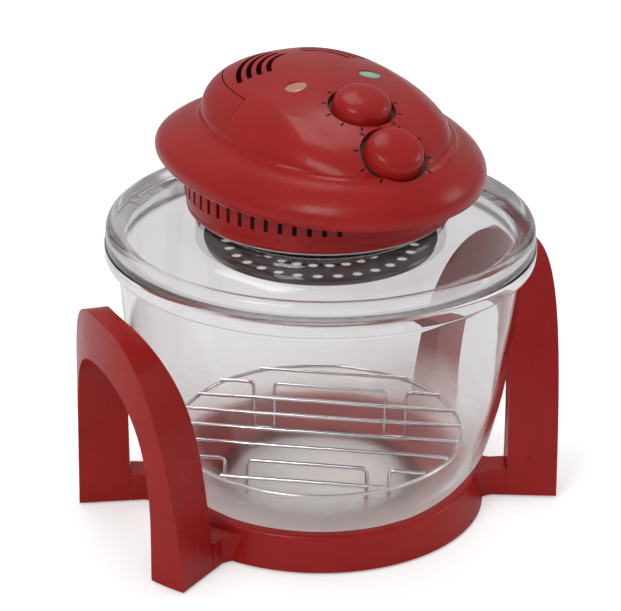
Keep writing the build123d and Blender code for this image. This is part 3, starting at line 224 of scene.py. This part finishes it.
finishes = {
    "red_plastic": surface(
        "glossy_red_plastic", (0.275, 0.0075, 0.0075), (0.32, 0.010, 0.0095), (0.26, 0.36), patch=22.0,
        grain=420.0, depth=0.000006, Coat_Weight=0.10, Coat_Roughness=0.10, Specular_IOR_Level=0.18,
    ),
    "clear_glass": glass(
        "moulded_clear_glass", (0.95, 0.94, 0.95), (0.0, 0.03), 14.0, 0.0006, (0.93, 0.93, 0.93), IOR=1.3
    ),
    "lid_glass": glass(
        "pressed_lid_glass", (0.96, 0.95, 0.96), (0.0, 0.03), 14.0, 0.0006, (0.93, 0.93, 0.93),
        pane=(0.147, 0.151, (0.955, 0.95, 0.955), (0.03, 0.07), 0.7), IOR=1.3,
    ),
    "thin_clear": glass(
        "thin_clear_ring", (0.95, 0.95, 0.95), (0.0, 0.03), 14.0, 0.0006, (0.95, 0.95, 0.95),
        pane=(1.0, 1.1, (0.90, 0.90, 0.895), (0.04, 0.10)), IOR=1.3,
    ),
    "bowl_glass": glass(
        "thick_bowl_glass", (0.965, 0.955, 0.965), (0.0, 0.02), 14.0, 0.0004, (0.93, 0.93, 0.93),
        foot=(0.030, 0.085, 0.66, (0.98, 0.96, 0.94)), IOR=1.36,
    ),
    "chrome_wire": surface(
        "bright_chrome_plate", (0.74, 0.74, 0.75), (0.86, 0.86, 0.87), (0.05, 0.16), patch=60.0, grain=1400.0,
        depth=0.000006, Metallic=1.0,
    ),
    # The guard plate's metal colour is kept very dark: painted shade for the shadow under the head
    "guard_metal": surface(
        "shade_darkened_guard_metal", (0.10, 0.10, 0.095), (0.19, 0.185, 0.18), (0.28, 0.45), patch=70.0,
        grain=1300.0, depth=0.00001, Metallic=1.0,
    ),
    "bright_sheet": surface(
        "rolled_bright_sheet", (0.68, 0.68, 0.69), (0.82, 0.82, 0.83), (0.16, 0.34), patch=40.0, grain=1600.0,
        depth=0.00001, stretch=(1.0, 6.0, 6.0), Metallic=1.0,
    ),
    "steel_sheet": surface(
        "zinc_plated_sheet", (0.46, 0.47, 0.49), (0.62, 0.62, 0.62), (0.28, 0.48), patch=120.0, grain=1200.0,
        depth=0.00002, Metallic=1.0,
    ),
    "steel_screws": surface(
        "plated_screw_steel", (0.40, 0.40, 0.41), (0.60, 0.60, 0.58), (0.22, 0.42), patch=420.0, grain=2500.0,
        depth=0.00001, edge=0.0003, Metallic=1.0,
    ),
    "dark_rubber": surface(
        "foot_rubber", (0.016, 0.016, 0.017), (0.035, 0.034, 0.033), (0.62, 0.85), patch=300.0, grain=2200.0,
        depth=0.00006, edge=0.0006, Sheen_Weight=0.15,
    ),
    "grey_silicone": surface(
        "seal_silicone", (0.48, 0.48, 0.47), (0.58, 0.58, 0.56), (0.45, 0.62), patch=150.0, grain=1800.0,
        depth=0.00003, Subsurface_Weight=0.1,
    ),
    "black_plastic": surface(
        "satin_black_plastic", (0.010, 0.010, 0.011), (0.020, 0.019, 0.020), (0.34, 0.50), patch=90.0,
        grain=2400.0, depth=0.00003, edge=0.0005,
    ),
    "white_ceramic": surface(
        "lamp_holder_ceramic", (0.70, 0.68, 0.62), (0.80, 0.78, 0.73), (0.30, 0.48), patch=160.0,
        grain=1500.0, depth=0.00004, edge=0.0006,
    ),
    "mica_board": surface(
        "pressed_mica_board", (0.42, 0.36, 0.26), (0.60, 0.53, 0.40), (0.45, 0.70), patch=260.0, grain=900.0,
        depth=0.00010, stretch=(1.0, 1.0, 0.2),
    ),
    "quartz_tube": glass(
        "quartz_heater_tube", (0.95, 0.93, 0.88), (0.02, 0.12), 90.0, 0.0001, (0.9, 0.88, 0.84), IOR=1.46
    ),
    "red_lens": surface(
        "amber_red_lens", (0.50, 0.19, 0.14), (0.60, 0.26, 0.19), (0.10, 0.22), patch=120.0, grain=500.0,
        depth=0.00004, Transmission_Weight=0.25, Coat_Weight=0.4, Coat_Roughness=0.05,
    ),
    "green_lens": surface(
        "mint_green_lens", (0.25, 0.50, 0.39), (0.33, 0.60, 0.48), (0.10, 0.22), patch=120.0, grain=500.0,
        depth=0.00004, Transmission_Weight=0.25, Coat_Weight=0.4, Coat_Roughness=0.05,
    ),
    "lamp_glass": glass(
        "neon_lamp_glass", (0.96, 0.80, 0.60), (0.02, 0.10), 300.0, 0.0001, (0.9, 0.8, 0.6), IOR=1.46
    ),
    "laminated_steel": surface(
        "stacked_core_steel", (0.16, 0.16, 0.18), (0.34, 0.34, 0.36), (0.35, 0.55), patch=9.0, grain=30.0,
        depth=0.00012, stretch=(1.0, 1.0, 60.0), Metallic=1.0,
    ),
    "copper_coil": surface(
        "enamelled_copper_wire", (0.42, 0.14, 0.04), (0.62, 0.26, 0.09), (0.22, 0.38), patch=12.0, grain=24.0,
        depth=0.00016, stretch=(60.0, 1.0, 60.0), Metallic=1.0,
    ),
    "sintered_bronze": surface(
        "porous_bronze", (0.34, 0.20, 0.08), (0.52, 0.34, 0.15), (0.35, 0.60), patch=500.0, grain=2600.0,
        depth=0.00005, Metallic=1.0,
    ),
}
printed_black = surface(
    "printed_black_ink", (0.006, 0.005, 0.005), (0.012, 0.011, 0.011), (0.50, 0.70), patch=800.0,
    grain=3000.0, depth=0.00001, Specular_IOR_Level=0.1,
)

slot_of = {part["node"]: part["material_slot"] for part in frame["record"]["subparts"]}
# The lid's parts in front of the guard are clear
clear_nodes = {"glass_lid": "lid_glass", "clamp_ring": "thin_clear", "lid_gasket_lower": "thin_clear"}
for node, item in nodes.items():
    item.data.materials.clear()
    item.data.materials.append(finishes[clear_nodes.get(node, slot_of[node])])


# ---------------------------------------------------------------- pieces over the CAD solids
SHARP_ANGLE = 32.0


def new_piece(name, mesh, material, body):
    """A finished mesh that rides on a body, with the given finish."""
    piece = bpy.data.objects.new(name, mesh)
    scene.collection.objects.link(piece)
    mesh.materials.clear()
    mesh.materials.append(material)
    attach(piece, body)
    return piece


def copy_of(node, name):
    """A copy of a CAD solid's mesh and its editable form with merged corners."""
    mesh = nodes[node].data.copy()
    mesh.name = name
    form = bmesh.new()
    form.from_mesh(mesh)
    bmesh.ops.remove_doubles(form, verts=form.verts, dist=1e-6)
    return mesh, form


def settle(form, mesh):
    """The edited form written back to its mesh."""
    form.to_mesh(mesh)
    form.free()


def spun(name, profile, steps):
    """A closed ring or disc spun about the oven's axis from a closed profile of (radius, height)."""
    points, faces = [], []
    count = len(profile)
    for step in range(steps):
        turn = 2 * math.pi * step / steps
        points += [(r * math.cos(turn), r * math.sin(turn), z) for r, z in profile]
        ahead = (step + 1) % steps
        for index in range(count):
            after = (index + 1) % count
            here, there = step * count, ahead * count
            faces.append((here + index, there + index, there + after, here + after))
    mesh = bpy.data.meshes.new(name)
    mesh.from_pydata(points, [], faces)
    form = bmesh.new()
    form.from_mesh(mesh)
    bmesh.ops.remove_doubles(form, verts=form.verts, dist=1e-7)
    bmesh.ops.recalc_face_normals(form, faces=form.faces)
    settle(form, mesh)
    mesh.shade_smooth()
    return mesh


def plain_smooth(mesh):
    """Smooth shading that keeps real edges sharp."""
    if "custom_normal" in mesh.attributes:
        mesh.attributes.remove(mesh.attributes["custom_normal"])
    mesh.shade_smooth()
    mesh.set_sharp_from_angle(angle=math.radians(SHARP_ANGLE))


# ---------------------------------------------------------------- guard
# The perforated plate stays metal, painted dark as painted shade under the head, and the wall that carries it
# is a clear collar
PLATE_RISE = 0.0042
COLLAR_FOOT = 0.0046
COLLAR_WALL = 0.0022
COLLAR_INSET = 0.0002
COLLAR_STEPS = 144
guard_low, guard_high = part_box("element_guard")
guard_radius = guard_high.x
plate_rim = guard_low.z + PLATE_RISE
mesh, form = copy_of("element_guard", "guard_plate")
above_plate = [face for face in form.faces if face.calc_center_median().z > plate_rim]
bmesh.ops.delete(form, geom=above_plate, context="FACES")
settle(form, mesh)
guard_plate = new_piece("guard_plate", mesh, finishes["guard_metal"], "lid")
collar = [
    (guard_radius - COLLAR_INSET, guard_low.z + COLLAR_FOOT),
    (guard_radius - COLLAR_INSET, guard_high.z - COLLAR_INSET),
    (guard_radius - COLLAR_WALL, guard_high.z - COLLAR_INSET),
    (guard_radius - COLLAR_WALL, guard_low.z + COLLAR_FOOT),
]
collar_mesh = spun("guard_collar", collar, COLLAR_STEPS)
guard_collar = new_piece("guard_collar", collar_mesh, finishes["thin_clear"], "lid")
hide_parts("element_guard")
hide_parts("element_guard")


# ---------------------------------------------------------------- bowl
# A spun wall with a scalloped moulding round its underside
BOWL_STEPS = 280
BOWL_WALL = 0.005
FOOT_RADIUS = 0.084
FLOOR_RINGS = (0.0, 0.03, 0.06)
RIM_THICKNESS = 0.0125
RIM_ROUND = RIM_THICKNESS / 4
LIP_ROUND = 0.0015
SCALLOPS = 14
SCALLOP_DEPTH = 0.0016
SCALLOP_START, SCALLOP_END = 0.085, 0.113
SCALLOP_TOP = 0.0165
SCALLOP_SLACK = 0.0002
UNDERSIDE_SLOPE = 0.62
bowl_low, bowl_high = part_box("glass_bowl")
wall_points = [
    (FOOT_RADIUS, bowl_low.z),
    (0.114, bowl_low.z + 0.016),
    (0.129, bowl_low.z + 0.035),
    (0.141, bowl_low.z + 0.074),
    (0.1505, bowl_low.z + 0.139),
    (0.156, bowl_high.z - RIM_THICKNESS),
]


def flowing(points, start, end, share=10):
    """A smooth run through points of (radius, height), leaving and arriving in the given directions."""
    points = [Vector(p) for p in points]
    spans = [(b - a).length for a, b in zip(points, points[1:])]
    slopes = [Vector(start).normalized()]
    for index in range(1, len(points) - 1):
        before = (points[index] - points[index - 1]) / spans[index - 1]
        after = (points[index + 1] - points[index]) / spans[index]
        weight = spans[index - 1] + spans[index]
        slopes.append((before * spans[index] + after * spans[index - 1]) / weight)
    slopes.append(Vector(end).normalized())
    run = []
    for index, span in enumerate(spans):
        for step in range(share):
            t = step / share
            run.append(
                points[index] * (2 * t**3 - 3 * t**2 + 1)
                + slopes[index] * span * (t**3 - 2 * t**2 + t)
                + points[index + 1] * (3 * t**2 - 2 * t**3)
                + slopes[index + 1] * span * (t**3 - t**2)
            )
    return run + [points[-1]]


def rounded(corner, radius, start, end, steps=5):
    """Points of a quarter round at a corner, between two turns in degrees."""
    centre = Vector(corner)
    return [
        centre + radius * Vector((math.cos(a), math.sin(a)))
        for a in (math.radians(start + (end - start) * k / steps) for k in range(steps + 1))
    ]


outer_run = flowing(wall_points, (1, 0.12), (0.1, 1))
inner_run = []
for index, spot in enumerate(outer_run):
    ahead = outer_run[min(index + 1, len(outer_run) - 1)] - outer_run[max(index - 1, 0)]
    ahead.normalize()
    inner_run.append(spot + BOWL_WALL * Vector((-ahead.y, ahead.x)))
rim_centre = bowl_high.x - RIM_ROUND
bowl_profile = (
    [Vector((radius, bowl_low.z)) for radius in FLOOR_RINGS]
    + outer_run
    + rounded((rim_centre, bowl_high.z - RIM_THICKNESS + RIM_ROUND), RIM_ROUND, -90, 0)
    + rounded((rim_centre, bowl_high.z - RIM_ROUND), RIM_ROUND, 0, 90)
    + rounded((inner_run[-1].x + LIP_ROUND, bowl_high.z - LIP_ROUND), LIP_ROUND, 90, 180)
    + inner_run[::-1]
    + [Vector((radius, bowl_low.z + BOWL_WALL)) for radius in FLOOR_RINGS[::-1]]
)
bowl_mesh = spun("bowl_wall", bowl_profile, BOWL_STEPS)
for vertex in bowl_mesh.vertices:
    reach = math.hypot(vertex.co.x, vertex.co.y)
    ceiling = min(SCALLOP_TOP, SCALLOP_SLACK + (reach - FOOT_RADIUS) * UNDERSIDE_SLOPE)
    if SCALLOP_START < reach < SCALLOP_END and vertex.co.z < bowl_low.z + ceiling:
        across = (reach - SCALLOP_START) / (SCALLOP_END - SCALLOP_START)
        lobe = abs(math.sin(SCALLOPS / 2 * math.atan2(vertex.co.y, vertex.co.x)))
        vertex.co.z += SCALLOP_DEPTH * lobe**0.7 * math.sin(math.pi * across) ** 0.6
bowl = new_piece("bowl", bowl_mesh, finishes["bowl_glass"], "bowl")
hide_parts("glass_bowl")


# ---------------------------------------------------------------- head shell and knobs
# The groove between the dome and the brim is filled to a soft hollow
DOME = dict(width=0.0854, length=0.1195, rise=0.0433, centre=-0.0063, base=0.3133, tilt=5.3)
DOME_TOP = 0.3585
SKIRT_FALL = 0.6
BRIM = dict(width=0.115, length=0.151, centre=0.0035, lip=0.2835)
# How far a row of the brim lies inside its outline, and how high above the lip
BRIM_ROWS = (
    (0.0, 0.0035), (0.0005, 0.0105), (0.0055, 0.0175), (0.0135, 0.024), (0.022, 0.0285), (0.0275, 0.0327),
)
LENGTH_SHRINK, CENTRE_SHIFT = 1.08, 0.356
BRIM_DEEPEST = 0.06
REAR_SHARE, REAR_POWER = 0.87, 2.4


def egg_reach(x, y, half_width, half_length, centre):
    """1 on the egg outline, less inside it."""
    along = (y - centre) / half_length
    if along <= 0:
        return math.hypot(x / half_width, along)
    along /= REAR_SHARE
    return (abs(x / half_width) ** REAR_POWER + along**REAR_POWER) ** (1 / REAR_POWER)


def dome_outline(height):
    """Half width, half length and centre of the tilted dome at a height."""
    lean = math.radians(DOME["tilt"])
    length, rise = DOME["length"], DOME["rise"]
    along = math.cos(lean) ** 2 / length**2 + math.sin(lean) ** 2 / rise**2
    mixed = math.sin(lean) * math.cos(lean) * (1 / length**2 - 1 / rise**2)
    upright = math.sin(lean) ** 2 / length**2 + math.cos(lean) ** 2 / rise**2
    lift = max(height - DOME["base"], 0.0)
    share = math.sqrt(max(1 - (upright - mixed**2 / along) * lift**2, 1e-9))
    return DOME["width"] * share, share / math.sqrt(along), DOME["centre"] - mixed * lift / along


def dome_level(x, y):
    """Height of the dome over a point of the plan, falling away from its base outside it."""
    low, high = DOME["base"], DOME_TOP
    base_reach = egg_reach(x, y, *dome_outline(low))
    if base_reach >= 1:
        return low - SKIRT_FALL * (base_reach - 1)
    for _ in range(26):
        middle = (low + high) / 2
        if egg_reach(x, y, *dome_outline(middle)) < 1:
            low = middle
        else:
            high = middle
    return low


def brim_level(x, y):
    """Height of the brim's upper side over a point of the plan."""
    low, high = 0.0, BRIM_DEEPEST
    for _ in range(22):
        middle = (low + high) / 2
        half_width = BRIM["width"] - middle
        half_length = BRIM["length"] - middle * LENGTH_SHRINK
        if egg_reach(x, y, half_width, half_length, BRIM["centre"] - middle * CENTRE_SHIFT) < 1:
            low = middle
        else:
            high = middle
    for (in_a, up_a), (in_b, up_b) in zip(BRIM_ROWS, BRIM_ROWS[1:]):
        if low <= in_b:
            break
    return BRIM["lip"] + up_a + (up_b - up_a) * (low - in_a) / (in_b - in_a)


def eased(value, start, end):
    """0 before start, 1 after end and a smooth rise between."""
    share = min(max((value - start) / (end - start), 0.0), 1.0)
    return share * share * (3 - 2 * share)


# Where each dial's face meets its axis, and how far the axis leans to the front
KNOBS = {"timer_knob": ((0, -0.060, 0.345), 17.0), "thermostat_knob": ((0, -0.108, 0.325), 30.0)}
knob_axes = {}
for node, (spot, lean) in KNOBS.items():
    tilt = math.radians(lean)
    knob_axes[node] = (Vector(spot), Vector((0, -math.sin(tilt), math.cos(tilt))))

# The fill is widest in front, and it leaves the ground round the knobs as it is
FILL = 0.014
REAR_LOSS, REAR_START, REAR_END = 0.4, -0.03, 0.05
SKIN_NEAR, SKIN_FAR = 0.0025, 0.006
KNOB_NEAR, KNOB_FAR = 0.0275, 0.064
LONGEST_EDGE = 0.0035
CUT_LOW, CUT_HIGH = 0.29, 0.345
SHELL_FOOT, FILL_TOP = 0.02, 0.348
shell_low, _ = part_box("top_housing")
mesh, form = copy_of("top_housing", "head_shell")
for _ in range(3):
    long_edges = []
    for edge in form.edges:
        middle = (edge.verts[0].co + edge.verts[1].co) / 2
        if edge.calc_length() < LONGEST_EDGE or not CUT_LOW < middle.z < CUT_HIGH:
            continue
        if abs(dome_level(middle.x, middle.y) - brim_level(middle.x, middle.y)) < FILL:
            long_edges.append(edge)
    bmesh.ops.subdivide_edges(form, edges=long_edges, cuts=1)
    bmesh.ops.triangulate(form, faces=[face for face in form.faces if len(face.verts) > 3])
for vertex in form.verts:
    x, y, z = vertex.co
    if not shell_low.z + SHELL_FOOT < z < FILL_TOP:
        continue
    dome, brim = dome_level(x, y), brim_level(x, y)
    fill = FILL * (1 - REAR_LOSS * eased(y, REAR_START, REAR_END))
    blend = max(1 - abs(dome - brim) / fill, 0.0)
    if blend:
        kept = 1 - eased(abs(z - max(dome, brim)), SKIN_NEAR, SKIN_FAR)
        for spot, axis in knob_axes.values():
            rel = vertex.co - spot
            kept *= eased((rel - rel.dot(axis) * axis).length, KNOB_NEAR, KNOB_FAR)
        vertex.co.z = z + fill * kept * blend**2 / 4
settle(form, mesh)
mesh.validate()
plain_smooth(mesh)
head_shell = new_piece("head_shell", mesh, finishes["red_plastic"], "lid")
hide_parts("top_housing")

# The knobs' skirts spread towards the dial
SPREAD = 0.05
SPREAD_START, SPREAD_WIDTH = 0.010, 0.008
SPREAD_TOP, SPREAD_HEIGHT = 0.0145, 0.016
for node, (spot, axis) in knob_axes.items():
    mesh, form = copy_of(node, node + "_cap")
    for vertex in form.verts:
        rel = vertex.co - spot
        up = rel.dot(axis)
        out = rel - up * axis
        far = min(max((out.length - SPREAD_START) / SPREAD_WIDTH, 0.0), 1.0)
        low = min(max((SPREAD_TOP - up) / SPREAD_HEIGHT, 0.0), 1.0)
        vertex.co += out * SPREAD * far * low**1.5
    settle(form, mesh)
    plain_smooth(mesh)
    cap = new_piece(node + "_cap", mesh, finishes["red_plastic"], node)
    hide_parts(node)


# ---------------------------------------------------------------- dial ticks
# Short inked bars laid on the shell round each knob
TICK_SOCKETS = {
    "Shell": "Object",
    "Count": "Int",
    "First": "Float",
    "Step": "Float",
    "Radius": "Float",
    "Length": "Float",
    "Width": "Float",
    "Spot": "Vector",
    "Turn": "Vector",
    "Down": "Vector",
    "Ink": "Material",
}
BAR_CUTS = (3, 9)
RAY_LENGTH = 0.08
INK_LIFT = 0.00015


def tick_tree():
    """A node tree that lays a fan of bars on a shell, at equal turns about a dial's axis."""
    tree = bpy.data.node_groups.new("dial_ticks", "GeometryNodeTree")
    face = tree.interface
    face.new_socket("Geometry", in_out="INPUT", socket_type="NodeSocketGeometry")
    sockets = {}
    for name, kind in TICK_SOCKETS.items():
        socket = face.new_socket(name, in_out="INPUT", socket_type="NodeSocket" + kind)
        sockets[name] = socket.identifier
    face.new_socket("Geometry", in_out="OUTPUT", socket_type="NodeSocketGeometry")
    link = tree.links.new

    def add(kind, **values):
        return add_node(tree, kind, **values)

    given, given_out = add("NodeGroupInput"), add("NodeGroupOutput")
    line = add("GeometryNodeMeshLine")
    line.inputs["Offset"].default_value = (0, 0, 0)
    link(given.outputs["Count"], line.inputs["Count"])
    bar = add("GeometryNodeMeshGrid")
    bar.inputs["Vertices X"].default_value, bar.inputs["Vertices Y"].default_value = BAR_CUTS
    link(given.outputs["Width"], bar.inputs["Size X"])
    link(given.outputs["Length"], bar.inputs["Size Y"])
    out = add("ShaderNodeCombineXYZ")
    link(given.outputs["Radius"], out.inputs["Y"])
    moved = add("GeometryNodeTransform")
    link(bar.outputs["Mesh"], moved.inputs["Geometry"])
    link(out.outputs[0], moved.inputs["Translation"])
    index = add("GeometryNodeInputIndex")
    turn = add("ShaderNodeMath", operation="MULTIPLY_ADD")
    link(index.outputs[0], turn.inputs[0])
    link(given.outputs["Step"], turn.inputs[1])
    link(given.outputs["First"], turn.inputs[2])
    spin = add("ShaderNodeCombineXYZ")
    link(turn.outputs[0], spin.inputs["Z"])
    spread = add("GeometryNodeInstanceOnPoints")
    link(line.outputs["Mesh"], spread.inputs["Points"])
    link(moved.outputs["Geometry"], spread.inputs["Instance"])
    link(spin.outputs[0], spread.inputs["Rotation"])
    real = add("GeometryNodeRealizeInstances")
    link(spread.outputs["Instances"], real.inputs["Geometry"])
    stand = add("GeometryNodeTransform")
    link(real.outputs["Geometry"], stand.inputs["Geometry"])
    link(given.outputs["Spot"], stand.inputs["Translation"])
    link(given.outputs["Turn"], stand.inputs["Rotation"])
    shell = add("GeometryNodeObjectInfo", transform_space="RELATIVE")
    link(given.outputs["Shell"], shell.inputs["Object"])
    ray = add("GeometryNodeRaycast", data_type="FLOAT_VECTOR")
    link(shell.outputs["Geometry"], ray.inputs["Target Geometry"])
    link(given.outputs["Down"], ray.inputs["Ray Direction"])
    ray.inputs["Ray Length"].default_value = RAY_LENGTH
    lift = add("ShaderNodeVectorMath", operation="MULTIPLY_ADD")
    link(ray.outputs["Hit Normal"], lift.inputs[0])
    lift.inputs[1].default_value = (INK_LIFT, INK_LIFT, INK_LIFT)
    link(ray.outputs["Hit Position"], lift.inputs[2])
    lay = add("GeometryNodeSetPosition")
    link(stand.outputs["Geometry"], lay.inputs["Geometry"])
    link(ray.outputs["Is Hit"], lay.inputs["Selection"])
    link(lift.outputs[0], lay.inputs["Position"])
    ink = add("GeometryNodeSetMaterial")
    link(lay.outputs["Geometry"], ink.inputs["Geometry"])
    link(given.outputs["Ink"], ink.inputs["Material"])
    link(ink.outputs["Geometry"], given_out.inputs[0])
    return tree, sockets


# Count of ticks, the first one's turn and the turn between two, in degrees
TICK_ROWS = {"timer_knob": (11, -152, 30.4), "thermostat_knob": (9, -135, 33.75)}
TICK_RADIUS, TICK_LENGTH, TICK_WIDTH = 0.0278, 0.0036, 0.0015
TICK_START = 0.03
dial_tree, dial_sockets = tick_tree()
for node, (count, first, step) in TICK_ROWS.items():
    spot, axis = knob_axes[node]
    blank = bpy.data.objects.new(node + "_blank", bpy.data.meshes.new(node + "_blank"))
    scene.collection.objects.link(blank)
    fan = blank.modifiers.new("ticks", "NODES")
    fan.node_group = dial_tree
    given = dict(
        Shell=head_shell,
        Count=count,
        First=math.radians(first),
        Step=math.radians(step),
        Radius=TICK_RADIUS,
        Length=TICK_LENGTH,
        Width=TICK_WIDTH,
        Spot=spot + axis * TICK_START,
        Turn=(math.acos(axis.z), 0, 0),
        Down=-axis,
        Ink=printed_black,
    )
    for name, value in given.items():
        fan[dial_sockets[name]] = value
    bpy.context.view_layer.update()
    shown = blank.evaluated_get(bpy.context.evaluated_depsgraph_get())
    ticks = bpy.data.meshes.new_from_object(shown)
    bpy.data.objects.remove(blank)
    ticks.name = node + "_ticks"
    new_piece(node + "_ticks", ticks, printed_black, "lid")


# ---------------------------------------------------------------- camera, lamps, floor
def look(spot, target, roll=0.0):
    """Rotation that looks from the spot at the target, rolled about the line of sight."""
    sight = (Vector(target) - Vector(spot)).normalized()
    right = sight.cross(Vector((0, 0, 1))).normalized()
    up = right.cross(sight)
    turn = math.radians(roll)
    across = math.cos(turn) * right + math.sin(turn) * up
    over = -math.sin(turn) * right + math.cos(turn) * up
    return Matrix((across, over, -sight)).transposed().to_euler()


CAMERA_SPOT = (-0.8651, -1.5907, 0.9822)
CAMERA_TARGET = (-0.0064, 0.0035, 0.1639)
CAMERA_ROLL = 0.53
camera = bpy.data.objects.new("camera", bpy.data.cameras.new("camera"))
scene.collection.objects.link(camera)
camera.location = CAMERA_SPOT
camera.rotation_euler = look(camera.location, CAMERA_TARGET, CAMERA_ROLL)
camera.data.sensor_width = 36.0
camera.data.lens = 148.96
camera.data.clip_end = 100.0
scene.camera = camera

# Name, place, what it points at, side in metres and watts
SOFTBOXES = (
    ("key_softbox", (-1.7, -1.0, 1.7), (0, 0, 0.25), 1.0, 20.0),
    ("top_softbox", (0.1, 0.7, 2.4), (0, 0, 0.25), 1.2, 14.0),
    ("right_softbox", (2.0, -0.7, 1.0), (0, 0, 0.2), 0.8, 6.0),
)
for name, spot, aim, size, power in SOFTBOXES:
    lamp = bpy.data.lights.new(name, "AREA")
    lamp.size = size
    lamp.energy = power
    holder = bpy.data.objects.new(name, lamp)
    holder.location = spot
    holder.rotation_euler = look(spot, aim)
    scene.collection.objects.link(holder)

# Strength of the white room: on matt surfaces, as seen, and in mirrors from the horizon up
ROOM_LIGHT, ROOM_SEEN = 0.60, 1.0
MIRROR_LOW, MIRROR_HIGH = 0.42, 0.70
MIRROR_START, MIRROR_END = -0.1, 0.9
FLOOR_COLOUR = (0.82, 0.82, 0.82, 1)
FLOOR_GLOW = 0.38
HALF_FLOOR = 8.0


def seen_as(tree, kind):
    """1 for the rays of one kind, such as "Is Glossy Ray" for what a mirror sees."""
    return add_node(tree, "ShaderNodeLightPath").outputs[kind]


def either(tree, first, second):
    """The larger of two factors."""
    larger = add_node(tree, "ShaderNodeMath", operation="MAXIMUM")
    tree.links.new(first, larger.inputs[0])
    tree.links.new(second, larger.inputs[1])
    return larger.outputs[0]


def white_room(tree, strength):
    """An even white background."""
    room = add_node(tree, "ShaderNodeBackground")
    room.inputs["Color"].default_value = (1.0, 1.0, 1.0, 1)
    room.inputs["Strength"].default_value = strength
    return room


world = bpy.data.worlds.new("studio")
scene.world = world
world.use_nodes = True
air = world.node_tree
air.nodes.clear()
in_sight = either(air, seen_as(air, "Is Camera Ray"), seen_as(air, "Is Glossy Ray"))
in_sight = either(air, in_sight, seen_as(air, "Is Transmission Ray"))
sky_light, sky_seen = white_room(air, ROOM_LIGHT), white_room(air, ROOM_SEEN)
sky = mixed_shaders(air, in_sight, sky_light.outputs[0], sky_seen.outputs[0])
# Mirrors see a dimmer room that is darkest near the horizon
sky_mirror = add_node(air, "ShaderNodeBackground")
split, rise = add_node(air, "ShaderNodeSeparateXYZ"), add_node(air, "ShaderNodeMapRange")
air.links.new(add_node(air, "ShaderNodeTexCoord").outputs["Generated"], split.inputs[0])
air.links.new(split.outputs["Z"], rise.inputs["Value"])
for label, value in (
    ("From Min", MIRROR_START),
    ("From Max", MIRROR_END),
    ("To Min", MIRROR_LOW),
    ("To Max", MIRROR_HIGH),
):
    rise.inputs[label].default_value = value
air.links.new(rise.outputs["Result"], sky_mirror.inputs["Strength"])
sky = mixed_shaders(air, seen_as(air, "Is Glossy Ray"), sky, sky_mirror.outputs[0])
air.links.new(sky, add_node(air, "ShaderNodeOutputWorld").inputs["Surface"])

floor_mesh = bpy.data.meshes.new("floor")
floor_corners = [(x * HALF_FLOOR, y * HALF_FLOOR, 0) for x, y in ((-1, -1), (1, -1), (1, 1), (-1, 1))]
floor_mesh.from_pydata(floor_corners, [], [(0, 1, 2, 3)])
floor = bpy.data.objects.new("floor", floor_mesh)
scene.collection.objects.link(floor)
floor_material = bpy.data.materials.new("white_floor")
floor_material.use_nodes = True
ground = floor_material.node_tree
ground.nodes.clear()
# The camera sees the floor a little brighter than it is, so that it runs into the white room
matt = add_node(ground, "ShaderNodeBsdfDiffuse")
matt.inputs["Color"].default_value = FLOOR_COLOUR
glow = add_node(ground, "ShaderNodeEmission")
glow_share = add_node(ground, "ShaderNodeMath", operation="MULTIPLY")
glow_share.inputs[1].default_value = FLOOR_GLOW
both = add_node(ground, "ShaderNodeAddShader")
ground.links.new(seen_as(ground, "Is Camera Ray"), glow_share.inputs[0])
ground.links.new(glow_share.outputs[0], glow.inputs["Strength"])
ground.links.new(matt.outputs[0], both.inputs[0])
ground.links.new(glow.outputs[0], both.inputs[1])
ground.links.new(both.outputs[0], add_node(ground, "ShaderNodeOutputMaterial").inputs["Surface"])
floor_mesh.materials.append(floor_material)

scene.view_settings.view_transform = "Standard"
